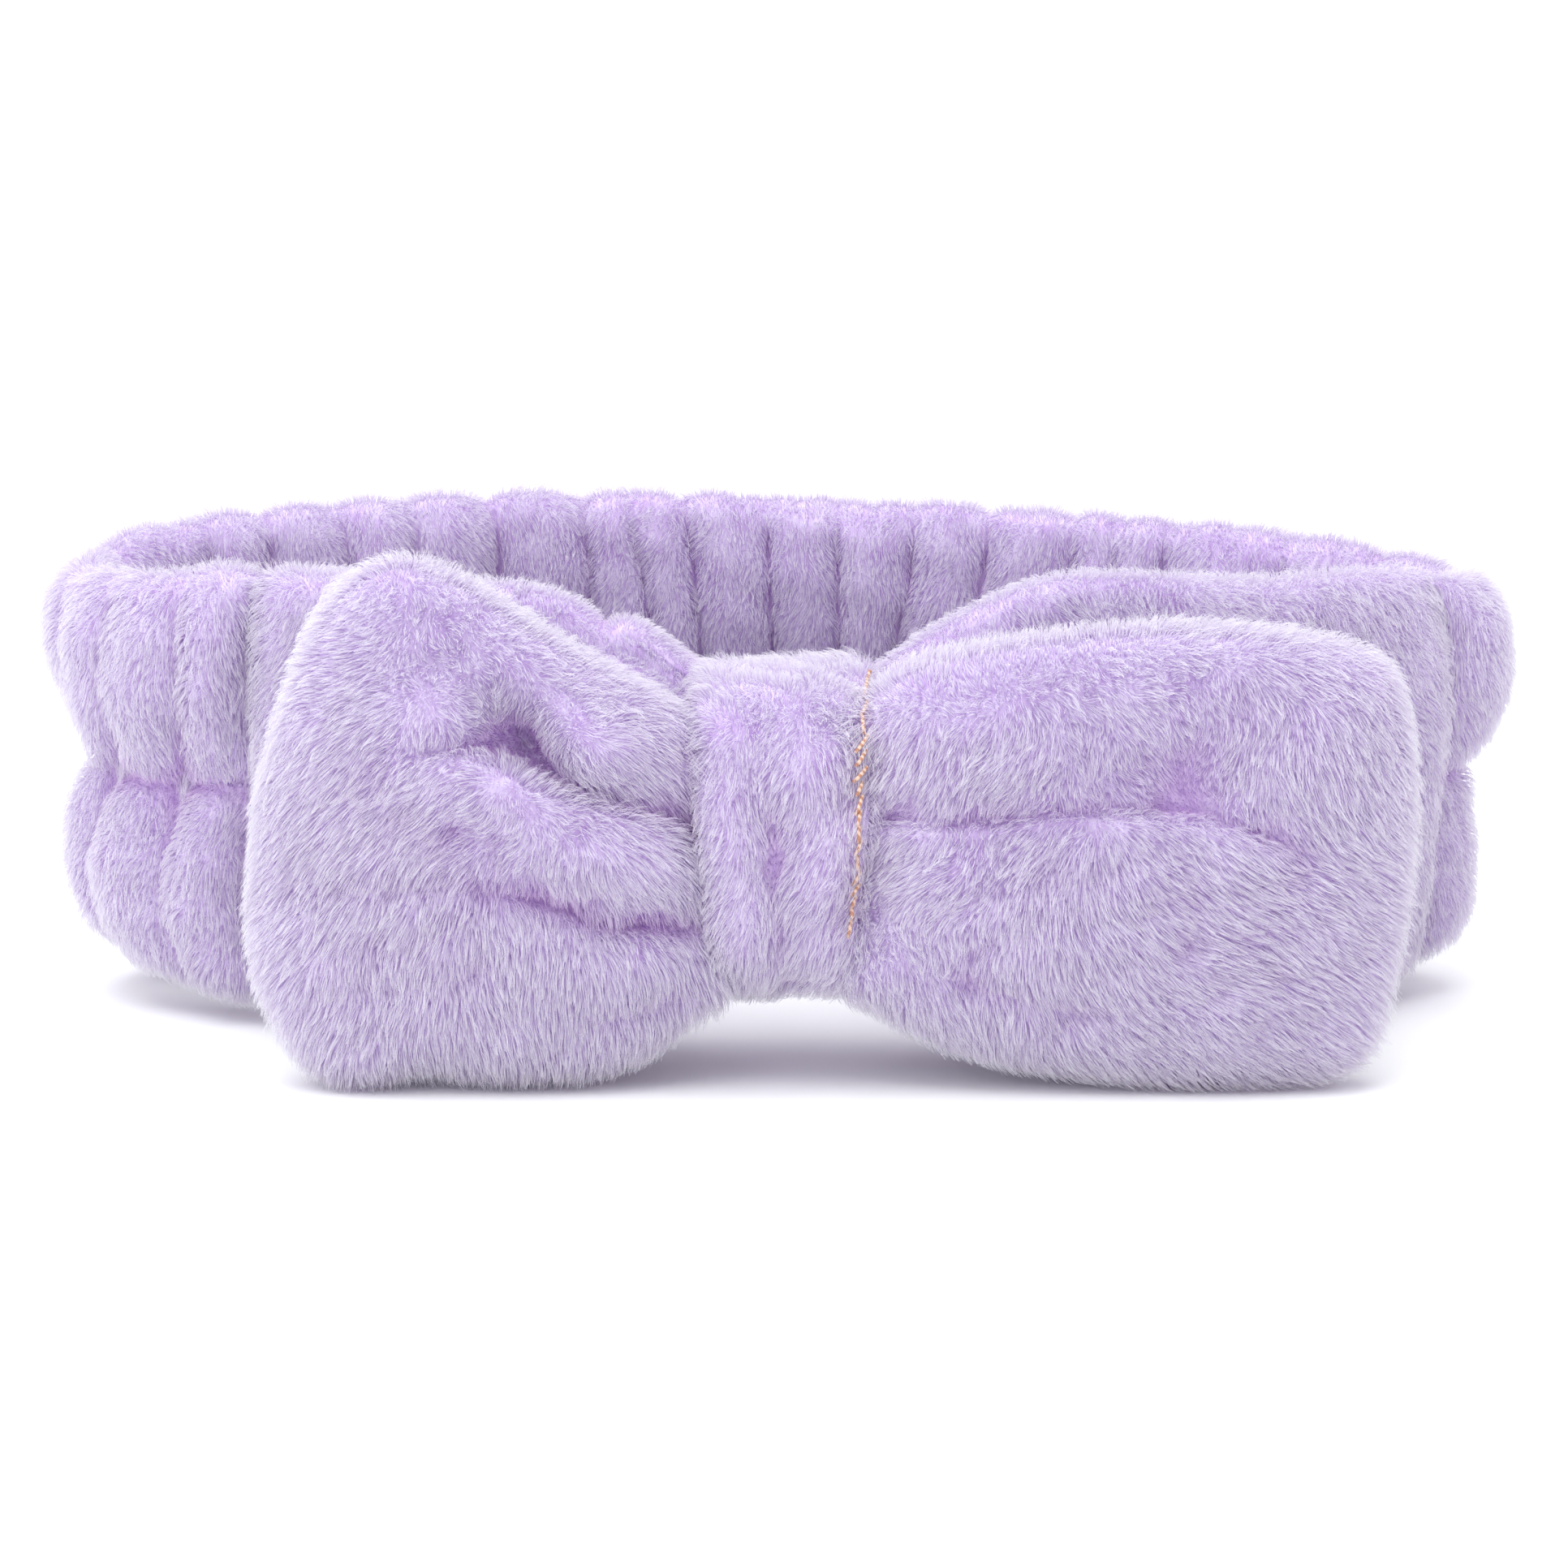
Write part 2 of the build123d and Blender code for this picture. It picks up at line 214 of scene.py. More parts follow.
def box_layout(mesh, rows, columns, closed):
    """The texture layout for baking into: the furred side, then the hidden side, then the rims."""
    count = rows * columns
    layer = mesh.uv_layers.new(name="OFBake")
    places = np.zeros((len(mesh.loops), 2))
    at = 0
    for polygon in mesh.polygons:
        ids = list(polygon.vertices)
        sides = [v // count for v in ids]
        cells = [divmod(v % count, columns) for v in ids]
        wrapped = closed and {0, rows - 1} <= {r for r, _ in cells}
        for (r, c), side in zip(cells, sides):
            u = (rows if wrapped and r == 0 else r) / rows
            v = c / columns
            if len(set(sides)) > 1:
                place = (0.9 + 0.01 * side, 0.02 + 0.96 * (u + v) / 2)
            elif side == 0:
                place = (0.01 + (SKIN_SHARE - 0.02) * u, 0.01 + 0.98 * v)
            else:
                place = (0.93 + 0.06 * u, 0.01 + 0.98 * v)
            places[at] = place
            at += 1
    layer.data.foreach_set("uv", places.ravel())


def tube(name, runs, radius, closed=False):
    """Round threads along runs of points, in millimetres."""
    curve = bpy.data.curves.new(name, "CURVE")
    curve.dimensions = "3D"
    curve.bevel_depth = radius * MM
    curve.bevel_resolution = 2
    curve.use_fill_caps = True
    for run in runs:
        spline = curve.splines.new("POLY")
        spline.points.add(len(run) - 1)
        for p, co in zip(spline.points, run):
            p.co = (*(np.array(co) * MM), 1)
        spline.use_cyclic_u = closed
    made = bpy.data.objects.new(name, curve)
    bpy.context.scene.collection.objects.link(made)
    mesh = bpy.data.meshes.new_from_object(made)
    bpy.data.objects.remove(made)
    mesh.name = name
    mesh.shade_smooth()
    piece = bpy.data.objects.new(name, mesh)
    bpy.context.scene.collection.objects.link(piece)
    return piece


# ---------------------------------------------------------------- materials


class Shader:
    """Short forms for building a material's nodes."""

    def __init__(self, name, roughness, sheen=0.0, specular=0.3):
        self.material = bpy.data.materials.new(name)
        self.material.use_nodes = True
        self.nodes = self.material.node_tree.nodes
        self.links = self.material.node_tree.links
        self.bsdf = self.nodes["Principled BSDF"]
        self.bsdf.inputs["Roughness"].default_value = roughness
        self.bsdf.inputs["Sheen Weight"].default_value = sheen
        self.bsdf.inputs["Specular IOR Level"].default_value = specular

    def node(self, kind, inputs=(), **settings):
        made = self.nodes.new(kind)
        for key, value in settings.items():
            setattr(made, key, value)
        for key, value in dict(inputs).items():
            if isinstance(value, bpy.types.NodeSocket):
                self.links.new(value, made.inputs[key])
            else:
                made.inputs[key].default_value = value
        return made

    def noise(self, scale, detail=2.0, stretch=(1, 1, 1)):
        where = self.node("ShaderNodeTexCoord").outputs["Object"]
        squeezed = self.node("ShaderNodeMapping", {"Vector": where, "Scale": stretch})
        settings = {"Vector": squeezed.outputs[0], "Scale": scale, "Detail": detail}
        return self.node("ShaderNodeTexNoise", settings).outputs["Fac"]

    def ramp(self, factor, stops):
        made = self.node("ShaderNodeValToRGB", {"Fac": factor})
        elements = made.color_ramp.elements
        while len(elements) < len(stops):
            elements.new(0.5)
        for element, (place, colour) in zip(elements, stops):
            element.position = place
            element.color = (*colour, 1)
        return made.outputs["Color"]

    def blend(self, a, b, factor, mode="MIX"):
        made = self.node("ShaderNodeMix", data_type="RGBA", blend_type=mode)
        for socket, value in zip((made.inputs[0], made.inputs[6], made.inputs[7]), (factor, a, b)):
            if isinstance(value, bpy.types.NodeSocket):
                self.links.new(value, socket)
            else:
                socket.default_value = value
        return made.outputs[2]


PLUSH_SOFTNESS = 0.35  # how far a fibre is lit as the cloth that it stands on
FIBRE_GLOW = 0.58  # of the light that falls on a fibre, the share that shines through
# Painted shade: fibres in hollows and folds have their colour multiplied by this tint.
FOLD_SHADE_TINT = (0.93, 0.71, 0.98)


def linear(red, green, blue):
    """A colour given as it looks on a screen, 0 to 255."""
    shares = (c / 255 for c in (red, green, blue))
    return tuple(c / 12.92 if c < 0.04045 else ((c + 0.055) / 1.055) ** 2.4 for c in shares)


# The fibres' lilac: the deep root is painted shade down in the pile, the near-white tip is a painted
# highlight for the light that the tips catch, and the middle is the cloth's own colour.
LILAC_ROOT_PAINTED_SHADE = linear(200, 176, 220)
LILAC_MIDDLE = linear(222, 210, 234)
LILAC_TIP_PAINTED_HIGHLIGHT = linear(249, 249, 250)


def backing_material(name, deep, pale):
    """The dense foot of the pile, with fine streaks along the nap and soft clumps."""
    s = Shader(name, roughness=0.9, sheen=0.25, specular=0.1)
    streaks = s.noise(900, 3, (1, 1, 0.25))
    clumps = s.noise(160, 2)
    streaked = s.ramp(streaks, [(0.3, deep), (0.62, pale)])
    clumped = s.ramp(clumps, [(0.35, deep), (0.6, pale)])
    mixed = s.blend(streaked, clumped, 0.45)
    s.links.new(mixed, s.bsdf.inputs["Base Color"])
    bump = s.node("ShaderNodeBump", {"Height": streaks, "Distance": 0.0006, "Strength": 0.6})
    s.links.new(bump.outputs[0], s.bsdf.inputs["Normal"])
    return s.material


def fibre_material(name, root, middle, painted_highlight_tip):
    """One fibre of the pile: painted shade deep at its foot, a pale painted highlight at its tip, and more
    painted shade all along in the hollows and folds.
    """
    s = Shader(name, roughness=0.5, specular=0.45)
    info = s.node("ShaderNodeHairInfo")
    # Painted light along each fibre: a shaded root, the lilac middle and a highlit tip.
    along = s.ramp(info.outputs["Intercept"], [(0.0, root), (0.3, middle), (1.0, painted_highlight_tip)])
    # Painted shade: fibres in hollows and folds are multiplied by the fold tint, as far as the shade
    # attribute says.
    shade = s.node("ShaderNodeAttribute", attribute_name="shade").outputs["Fac"]
    fold_shaded = s.blend(along, (*FOLD_SHADE_TINT, 1), 1.0, "MULTIPLY")
    along = s.blend(along, fold_shaded, shade)
    uneven = s.node("ShaderNodeMapRange", {"Value": info.outputs["Random"], "To Min": 0.93, "To Max": 1.03})
    grey = s.node("ShaderNodeCombineColor", {k: uneven.outputs[0] for k in ("Red", "Green", "Blue")})
    varied = s.blend(along, grey.outputs[0], 1.0, "MULTIPLY")
    s.links.new(varied, s.bsdf.inputs["Base Color"])
    up = s.node("ShaderNodeAttribute", attribute_name="up").outputs["Vector"]
    spaces = {"vector_type": "NORMAL", "convert_from": "OBJECT", "convert_to": "WORLD"}
    up = s.node("ShaderNodeVectorTransform", {0: up}, **spaces)
    own = s.node("ShaderNodeNewGeometry").outputs["Normal"]
    facing = s.node("ShaderNodeMix", {0: PLUSH_SOFTNESS, 4: own, 5: up.outputs[0]}, data_type="VECTOR")
    normal = s.node("ShaderNodeVectorMath", {0: facing.outputs[1]}, operation="NORMALIZE").outputs[0]
    s.links.new(normal, s.bsdf.inputs["Normal"])
    glow = s.node("ShaderNodeBsdfTranslucent", {"Color": varied})
    both = s.node("ShaderNodeMixShader", {0: FIBRE_GLOW, 1: s.bsdf.outputs[0], 2: glow.outputs[0]})
    s.links.new(both.outputs[0], s.nodes["Material Output"].inputs["Surface"])
    return s.material


def thread_material(name, dark, light):
    """Twisted sewing thread."""
    s = Shader(name, roughness=0.45, sheen=0.2, specular=0.5)
    plies = {"Scale": 900, "Distortion": 2.0, "Detail": 1.0}
    twist = s.node("ShaderNodeTexWave", plies, bands_direction="DIAGONAL")
    s.links.new(s.ramp(twist.outputs["Fac"], [(0.25, dark), (0.75, light)]), s.bsdf.inputs["Base Color"])
    bump = s.node("ShaderNodeBump", {"Height": twist.outputs["Fac"], "Distance": 0.0001, "Strength": 0.8})
    s.links.new(bump.outputs[0], s.bsdf.inputs["Normal"])
    return s.material


def elastic_material(dark, light):
    """White knitted tape, with a rib at each row of the knit."""
    s = Shader("knitted_elastic", roughness=0.7, specular=0.3)
    ribs = s.node("ShaderNodeTexWave", {"Scale": 260, "Distortion": 0.4}, bands_direction="Z").outputs["Fac"]
    s.links.new(s.ramp(ribs, [(0.2, dark), (0.8, light)]), s.bsdf.inputs["Base Color"])
    bump = s.node("ShaderNodeBump", {"Height": ribs, "Distance": 0.0004, "Strength": 0.8})
    s.links.new(bump.outputs[0], s.bsdf.inputs["Normal"])
    return s.material


# ---------------------------------------------------------------- fur


FUR_DENSITY = 9.0e6  # fibres in a square metre
FIBRE_RADIUS = 0.05 * MM
FIBRE_POINTS = 4  # along each fibre
FIBRE_LIFT, FIBRE_LEAN = 0.66, 0.58  # how far a fibre stands up and lies over, as shares of its length
SWIRL_SCALE, SWIRL = 90, 1.2  # broad turns of the nap
TUFT_SCALE, TUFT = 420, 1.3  # locks a few millimetres across
LOOSE_SCALE = 4200  # each fibre's own stray
CLUMP_SCALE = 900.0  # fibres drawn together at their tips
UNEVEN_SCALE = 2600  # uneven lengths


class Fur:
    """A node group that grows short curved fibres on a mesh, along its nap attribute."""

    def __init__(self, piece, material, length, clump, stray, seed):
        self.group = bpy.data.node_groups.new(piece.name + "_fur", "GeometryNodeTree")
        self.group.interface.new_socket("Geometry", in_out="INPUT", socket_type="NodeSocketGeometry")
        self.group.interface.new_socket("Geometry", in_out="OUTPUT", socket_type="NodeSocketGeometry")
        strands = self.strands(self.feet(piece, seed))
        self.thinned(self.combed(strands, length, clump, stray), material)

    def node(self, kind, inputs=(), **settings):
        made = self.group.nodes.new(kind)
        for key, value in settings.items():
            setattr(made, key, value)
        for key, value in dict(inputs).items():
            self.put(made.inputs[key], value)
        return made

    def put(self, socket, value):
        if isinstance(value, bpy.types.NodeSocket):
            self.group.links.new(value, socket)
        else:
            socket.default_value = value

    def sum(self, operation, a, b):
        made = self.node("ShaderNodeMath", operation=operation)
        self.put(made.inputs[0], a)
        self.put(made.inputs[1], b)
        return made.outputs[0]

    def vector(self, operation, a, b=None, scale=None):
        made = self.node("ShaderNodeVectorMath", operation=operation)
        self.put(made.inputs[0], a)
        if b is not None:
            self.put(made.inputs[1], b)
        if scale is not None:
            self.put(made.inputs["Scale"], scale)
        return made.outputs["Value" if operation in ("LENGTH", "DOT_PRODUCT") else "Vector"]

    def named(self, name, kind="FLOAT_VECTOR"):
        made = self.node("GeometryNodeInputNamedAttribute", {"Name": name}, data_type=kind)
        return made.outputs["Attribute"]

    def stored(self, geometry, name, value):
        settings = {"Geometry": geometry, "Name": name, "Value": value}
        return self.node("GeometryNodeStoreNamedAttribute", settings, data_type="FLOAT_VECTOR").outputs[0]

    def feet(self, piece, seed):
        """Points where the fibres stand, which keep their place and the cloth's normal."""
        source = self.node("GeometryNodeObjectInfo", {"Object": piece}, transform_space="ORIGINAL")
        covered = self.sum("GREATER_THAN", self.named("pile", "FLOAT"), 0.05)
        density = self.sum("MULTIPLY", covered, FUR_DENSITY)
        settings = {"Mesh": source.outputs["Geometry"], "Density": density, "Seed": seed}
        spread = self.node("GeometryNodeDistributePointsOnFaces", settings)
        place = self.node("GeometryNodeInputPosition").outputs[0]
        kept = self.stored(spread.outputs["Points"], "foot", place)
        kept = self.stored(kept, "up", spread.outputs["Normal"])
        # The painted shade of the hollows, carried to each fibre.
        shade = {"Geometry": kept, "Name": "shade", "Value": self.named("shade", "FLOAT")}
        return self.node("GeometryNodeStoreNamedAttribute", shade, data_type="FLOAT").outputs[0]

    def strands(self, feet):
        """A straight fibre at each foot."""
        line = self.node("GeometryNodeCurvePrimitiveLine", {"End": (0, 0, 1)})
        cut = self.node("GeometryNodeResampleCurve", {"Curve": line.outputs[0], "Count": FIBRE_POINTS})
        copies = self.node("GeometryNodeInstanceOnPoints", {"Points": feet, "Instance": cut.outputs[0]})
        return self.node("GeometryNodeRealizeInstances", {0: copies.outputs[0]}).outputs[0]

    def noise(self, where, scale, amount):
        """A vector that wanders from place to place."""
        made = self.node("ShaderNodeTexNoise", {"Vector": where, "Scale": scale, "Detail": 1.0})
        centred = self.vector("SUBTRACT", made.outputs["Color"], (0.5, 0.5, 0.5))
        return self.vector("SCALE", centred, scale=amount)

    def combed(self, strands, length, clump, stray):
        """Each fibre rises from its foot and lies over along the nap, drawn towards its clump."""
        t = self.node("GeometryNodeSplineParameter").outputs["Factor"]
        foot, up, nap = self.named("foot"), self.named("up"), self.named("nap")
        swirl = self.noise(foot, SWIRL_SCALE, SWIRL)
        tufts = self.noise(foot, TUFT_SCALE, TUFT)
        loose = self.noise(foot, LOOSE_SCALE, stray)
        way = self.vector("ADD", self.vector("ADD", nap, swirl), self.vector("ADD", tufts, loose))
        off = self.vector("SCALE", up, scale=self.vector("DOT_PRODUCT", way, up))
        way = self.vector("SUBTRACT", way, off)
        shortened = self.sum("DIVIDE", 1.0, self.sum("MAXIMUM", self.vector("LENGTH", way), 1.0))
        way = self.vector("SCALE", way, scale=shortened)
        reach = self.sum("MULTIPLY", self.named("pile", "FLOAT"), length)
        uneven = self.node("ShaderNodeTexNoise", {"Vector": foot, "Scale": UNEVEN_SCALE, "Detail": 0.0})
        uneven = self.sum("MULTIPLY", uneven.outputs["Fac"], 0.8)
        reach = self.sum("MULTIPLY", reach, self.sum("ADD", 0.6, uneven))
        back = self.sum("SUBTRACT", 1.0, t)
        rise = self.sum("SUBTRACT", 1.0, self.sum("MULTIPLY", back, back))
        rise = self.sum("MULTIPLY", self.sum("MULTIPLY", rise, FIBRE_LIFT), reach)
        run = self.sum("MULTIPLY", self.sum("MULTIPLY", self.sum("POWER", t, 1.4), FIBRE_LEAN), reach)
        cell = self.node("ShaderNodeTexVoronoi", {"Vector": foot, "Scale": CLUMP_SCALE})
        pull = self.vector("SUBTRACT", cell.outputs["Position"], foot)
        pull = self.vector("SCALE", pull, scale=self.sum("MULTIPLY", self.sum("POWER", t, 1.5), clump))
        path = self.vector("ADD", self.vector("SCALE", up, scale=rise), self.vector("SCALE", way, scale=run))
        place = self.vector("ADD", foot, self.vector("ADD", path, pull))
        return self.node("GeometryNodeSetPosition", {"Geometry": strands, "Position": place}).outputs[0]

    def thinned(self, strands, material):
        """Each fibre tapers from foot to tip."""
        t = self.node("GeometryNodeSplineParameter").outputs["Factor"]
        taper = self.sum("MULTIPLY", self.sum("SUBTRACT", 1.0, self.sum("MULTIPLY", t, 0.7)), FIBRE_RADIUS)
        sized = self.node("GeometryNodeSetCurveRadius", {"Curve": strands, "Radius": taper})
        coloured = self.node("GeometryNodeSetMaterial", {"Geometry": sized.outputs[0], "Material": material})
        out = self.node("NodeGroupOutput")
        self.group.links.new(coloured.outputs[0], out.inputs[0])


def furred(piece, material, length, clump=0.38, stray=0.6, seed=1):
    """Fibres that go with the piece. They are grown for renders, and the mesh under them is the model."""
    fur = Fur(piece, material, length * MM, clump, stray, seed)
    strands = bpy.data.hair_curves.new(piece.name + "_fibres")
    strands.materials.append(material)
    grown = bpy.data.objects.new(piece.name + "_fibres", strands)
    bpy.context.scene.collection.objects.link(grown)
    grown.parent = piece
    growth = grown.modifiers.new("fur", "NODES")
    growth.node_group = fur.group
    growth.show_viewport = False


# ---------------------------------------------------------------- the band

# Round the ring from the knot, anticlockwise from above: X, Y, bottom, top and half thickness.
RING_STATIONS = [
    (0, -28.5, 17, 53, 8.0),
    (12, -28.0, 16, 55, 8.0),
    (20, -27.0, 11, 60, 8.0),
    (28, -25.6, 7, 64, 8.0),
    (38, -23.0, 5, 67, 7.6),
    (50, -19.0, 4, 66.5, 7.2),
    (66, -11.5, 3.5, 64.5, 6.8),
    (82, -2.5, 3.5, 64, 6.6),
    (93, 4.0, 5.5, 62.5, 6.4),
    (98, 11.0, 8, 61, 6.4),
    (94, 18.0, 5.5, 62, 6.4),
    (80, 26.0, 3, 64, 6.8),
    (56, 36.0, 0.8, 65, 6.8),
    (22, 44.0, 0.8, 66, 6.8),
    (-18, 45.5, 0.8, 67.5, 6.8),
    (-54, 38.5, 0.8, 68, 6.8),
    (-80, 28.0, 1.5, 67.5, 6.8),
    (-94, 18.0, 5, 66, 6.6),
    (-98, 8.0, 9.5, 63.5, 6.6),
    (-91, -1.0, 6.5, 64, 6.6),
    (-78, -8.5, 4, 66, 6.8),
    (-58, -16.5, 4, 66, 7.2),
    (-38, -23.0, 5, 66, 7.6),
    (-28, -25.6, 7, 64, 8.0),
    (-20, -27.0, 11, 61.5, 8.0),
    (-12, -28.0, 16, 56, 8.0),
]
RIGHT_SEAM_STATION = 7.9
LEFT_SEAM_STATION = 20.25
SEAM_SOFTNESS = 5.0  # how far either side of a side seam the gathers fade
WAIST = 0.5  # of the half thickness, at the channel stitching
GATHER_PITCH = 10.5
GATHER_DEPTH = 3.8
WAIST_CREASE = 1.8  # how much deeper the channel stitching pulls a narrow line
SEAM_GROOVE = 3.0
RIGHT_TUCK, LEFT_TUCK = 3.8, 1.2  # how far in the lower half of the band sits, at each end
LEFT_FLARE = 1.6  # how far out the upper edge leans at the left end
CLOTH = 2.4  # thickness of one layer of plush under its pile
BAND_STEP = 0.8  # between points round the ring
BAND_BARE = 10.5  # the pile starts this far from the knot's middle


class Ring:
    """The band's centre line, by the distance round it from the knot."""

    FINE = 4000

    def __init__(self, stations):
        self.rows = curve_through(stations, self.FINE, closed=True)
        steps = np.linalg.norm(np.diff(self.rows[:, :2], axis=0, append=self.rows[:1, :2]), axis=1)
        self.length = steps.sum()
        self.reach = np.concatenate([[0], np.cumsum(steps)])
        self.rows = np.vstack([self.rows, self.rows[:1]])
        self.count = len(stations)

    def distance(self, station):
        """How far round the ring a station's number is, from the knot."""
        return np.interp(station / self.count * self.FINE, np.arange(self.FINE + 1), self.reach)

    def columns(self, distance, count):
        """The first columns of the row at a distance round the ring."""
        place = np.mod(distance, self.length)
        return [np.interp(place, self.reach, self.rows[:, k]) for k in range(count)]

    def at(self, distance):
        """X, Y, bottom, top, half thickness and the outward normal's X and Y."""
        values = self.columns(distance, 5)
        ahead, behind = self.columns(distance + 2, 2), self.columns(distance - 2, 2)
        tx, ty = ahead[0] - behind[0], ahead[1] - behind[1]
        size = np.hypot(tx, ty)
        return (*values, ty / size, -tx / size)


RING = Ring(RING_STATIONS)
RIGHT_SEAM = RING.distance(RIGHT_SEAM_STATION)
LEFT_SEAM = RING.distance(LEFT_SEAM_STATION)


def gather_grooves(seed):
    """Where the gathers' grooves lie round the rear length, unevenly spaced."""
    rng = np.random.default_rng(seed)
    places = [RIGHT_SEAM]
    while places[-1] < LEFT_SEAM - GATHER_PITCH:
        places.append(places[-1] + GATHER_PITCH * rng.uniform(0.55, 1.5))
    return np.array([*places[:-1], LEFT_SEAM])


OUTER_GROOVES = gather_grooves(5)
INNER_GROOVES = gather_grooves(11)


def puckers(distance, height, grooves, seed):
    """0 on top of each pucker and 1 in the grooves between them, which wander a little up the band."""
    lean = np.stack([distance * 1.0, height * 0.6, np.zeros_like(distance) + seed * 40], axis=-1)
    wandered = distance + 3.0 * wobble(lean, 45, seed) + 0.9 * wobble(lean, 14, seed + 1)
    index = np.clip(np.searchsorted(grooves, wandered) - 1, 0, len(grooves) - 2)
    low, high = grooves[index], grooves[index + 1]
    share = np.clip((wandered - low) / (high - low), 0, 1)
    width = np.clip((high - low) / 10, 0.6, 1.2)
    return (1 - np.sin(math.pi * share) ** 0.55) * width


def gathered(distance):
    """1 round the rear length and 0 round the front."""
    return smoothstep(distance, RIGHT_SEAM - SEAM_SOFTNESS, RIGHT_SEAM + SEAM_SOFTNESS) * (
        1 - smoothstep(distance, LEFT_SEAM - SEAM_SOFTNESS, LEFT_SEAM + SEAM_SOFTNESS)
    )


def band_section(level, elastic):
    """The band's thickness at a level: one puff round the front, and two lobes and a waist round the rear."""
    plain = np.sqrt(np.maximum(1 - level**2.6, 0))
    dip = WAIST + (1 - WAIST) * (1 - np.cos(2 * math.pi * np.minimum(level, 0.5))) / 2
    lobe = np.sqrt(np.maximum(1 - (2 * np.maximum(level, 0.5) - 1) ** 2, 0))
    return mix(plain, np.where(level < 0.5, dip, lobe), elastic)


def stitched_in(distance, rise, elastic):
    """How far the channel stitching and the side seams pull the cloth in."""
    wander = 0.035 * wobble(np.stack([distance, 0 * distance, 0 * distance], axis=-1), 24, 17)
    channel = WAIST_CREASE * np.exp(-np.abs(rise - wander) / 0.07) * elastic
    place = np.mod(distance, RING.length)
    seam = np.minimum(np.abs(place - RIGHT_SEAM), np.abs(place - LEFT_SEAM))
    return channel + SEAM_GROOVE * np.exp(-seam / 1.5)


def pinched_pleats(x, y, facing, level):
    """Pleats that run into the knot, where the front length is pinched."""
    pinch = (1 - smoothstep(np.abs(x), 12, 44)) * (np.abs(facing) > 0.7) * (y < 0)
    pleats = 0.9 * np.cos(level * 21 + np.sign(x) + 0.1 * x) + 0.45 * np.cos(level * 62 + 0.25 * x)
    return pleats * pinch * smoothstep(1 - level, 0.0, 0.1)


def lean_in(x, rise):
    """How far the band leans in at the ring's ends: the lower half tucks in, and the left top flares out."""
    tuck = smoothstep(-rise, -0.3, 0.5) * mix(RIGHT_TUCK * smoothstep(x, 70, 97), LEFT_TUCK, x < 0)
    return tuck - LEFT_FLARE * smoothstep(rise, 0.2, 0.8) * smoothstep(-x, 70, 97)


def band_skin(distance, turn, sink=0.0):
    """Points on the band: turn goes from 0 at the top edge, down the outside, and up the inside to 1."""
    x, y, low, high, thick, nx, ny = RING.at(distance)
    rise = np.cos(2 * math.pi * turn)
    side = np.sign(np.sin(2 * math.pi * turn) + 1e-12)
    level = np.abs(rise)
    elastic = gathered(distance)
    width = thick * band_section(level, elastic)
    outside = puckers(distance, 33 + 33 * rise, OUTER_GROOVES, 3)
    inside = puckers(distance, 33 + 33 * rise, INNER_GROOVES, 8)
    groove = np.where(side > 0, outside, inside) * elastic
    near_edge = smoothstep(level, 0.75, 1.0)
    depth = GATHER_DEPTH * mix(1.0, 0.25, near_edge) * mix(1.0, 0.75, smoothstep(level, 0.0, 0.4))
    sunk = (depth * groove + stitched_in(distance, rise, elastic)) * smoothstep(width, 0.3, 3.0)
    pleats = pinched_pleats(x, y, ny, level)
    width = np.maximum(width - sunk + pleats - sink, 0.15 * width)
    half = (high - low) / 2 - sink
    edge_drop = 1.8 * mix(outside, inside, 0.5) * elastic * near_edge
    nick = 1.8 * np.exp(-(((x + 25) / 2.2) ** 2)) * (y < 0) * smoothstep(rise, 0.5, 1)
    z = (high + low) / 2 + rise * (half - edge_drop) - nick
    lean = lean_in(x, rise)
    x, y = x - nx * lean, y - ny * lean
    place = np.stack([x + nx * side * width, y + ny * side * width, z], axis=-1)
    soft = 0.5 * wobble(place, 26, 21) + 0.22 * wobble(place, 7, 22) + 0.1 * wobble(place, 2.6, 23)
    bulge = soft * smoothstep(width, 0.3, 2.5) * side
    place[..., 0] += nx * bulge
    place[..., 1] += ny * bulge
    return place


def combed_down(place, seed, along=0.35):
    """Nap that runs down the cloth, swirling a little."""
    nap = np.zeros_like(place)
    nap[..., 0] = along * wobble(place, 30, seed) + 0.25 * wobble(place, 9, seed + 1)
    nap[..., 1] = along * wobble(place, 30, seed + 2)
    nap[..., 2] = -1
    return nap


def band_panel(name, start, end, outside, material):
    """One layer of the band, from one distance round the ring to another."""
    along = np.linspace(start, end, int((end - start) / BAND_STEP))
    down = np.linspace(0.0, 0.5, 84) + (0 if outside else 0.5)
    distance, turn = np.meshgrid(along, down, indexing="ij")
    skin = band_skin(distance, turn)
    lining = band_skin(distance, turn, CLOTH)
    x = skin[..., 0]
    hidden = (np.abs(x) < BAND_BARE) & (skin[..., 1] < 0)
    pinched = (1 - smoothstep(np.abs(x), 22, 42)) * (skin[..., 1] < 0)
    pile = np.where(hidden, 0.0, mix(1.0, 0.8, pinched))
    piece = shell(name, skin, lining, nap=combed_down(skin, 31 if outside else 41), pile=pile)
    piece.data.materials.append(material)
    return piece


def band_blend(piece):
    """Bakes the piece's place into its mesh."""
    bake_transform(piece)


# ---------------------------------------------------------------- the knot

WRAP_PILE = 2.6  # the cloth's face lies this far in from the CAD wrap's, which stands at the pile's tips


def knot_half_width(z):
    """The wrap narrows towards its lower edge in front."""
    return mix(9.6, 11.9, smoothstep(z, 12, 50))


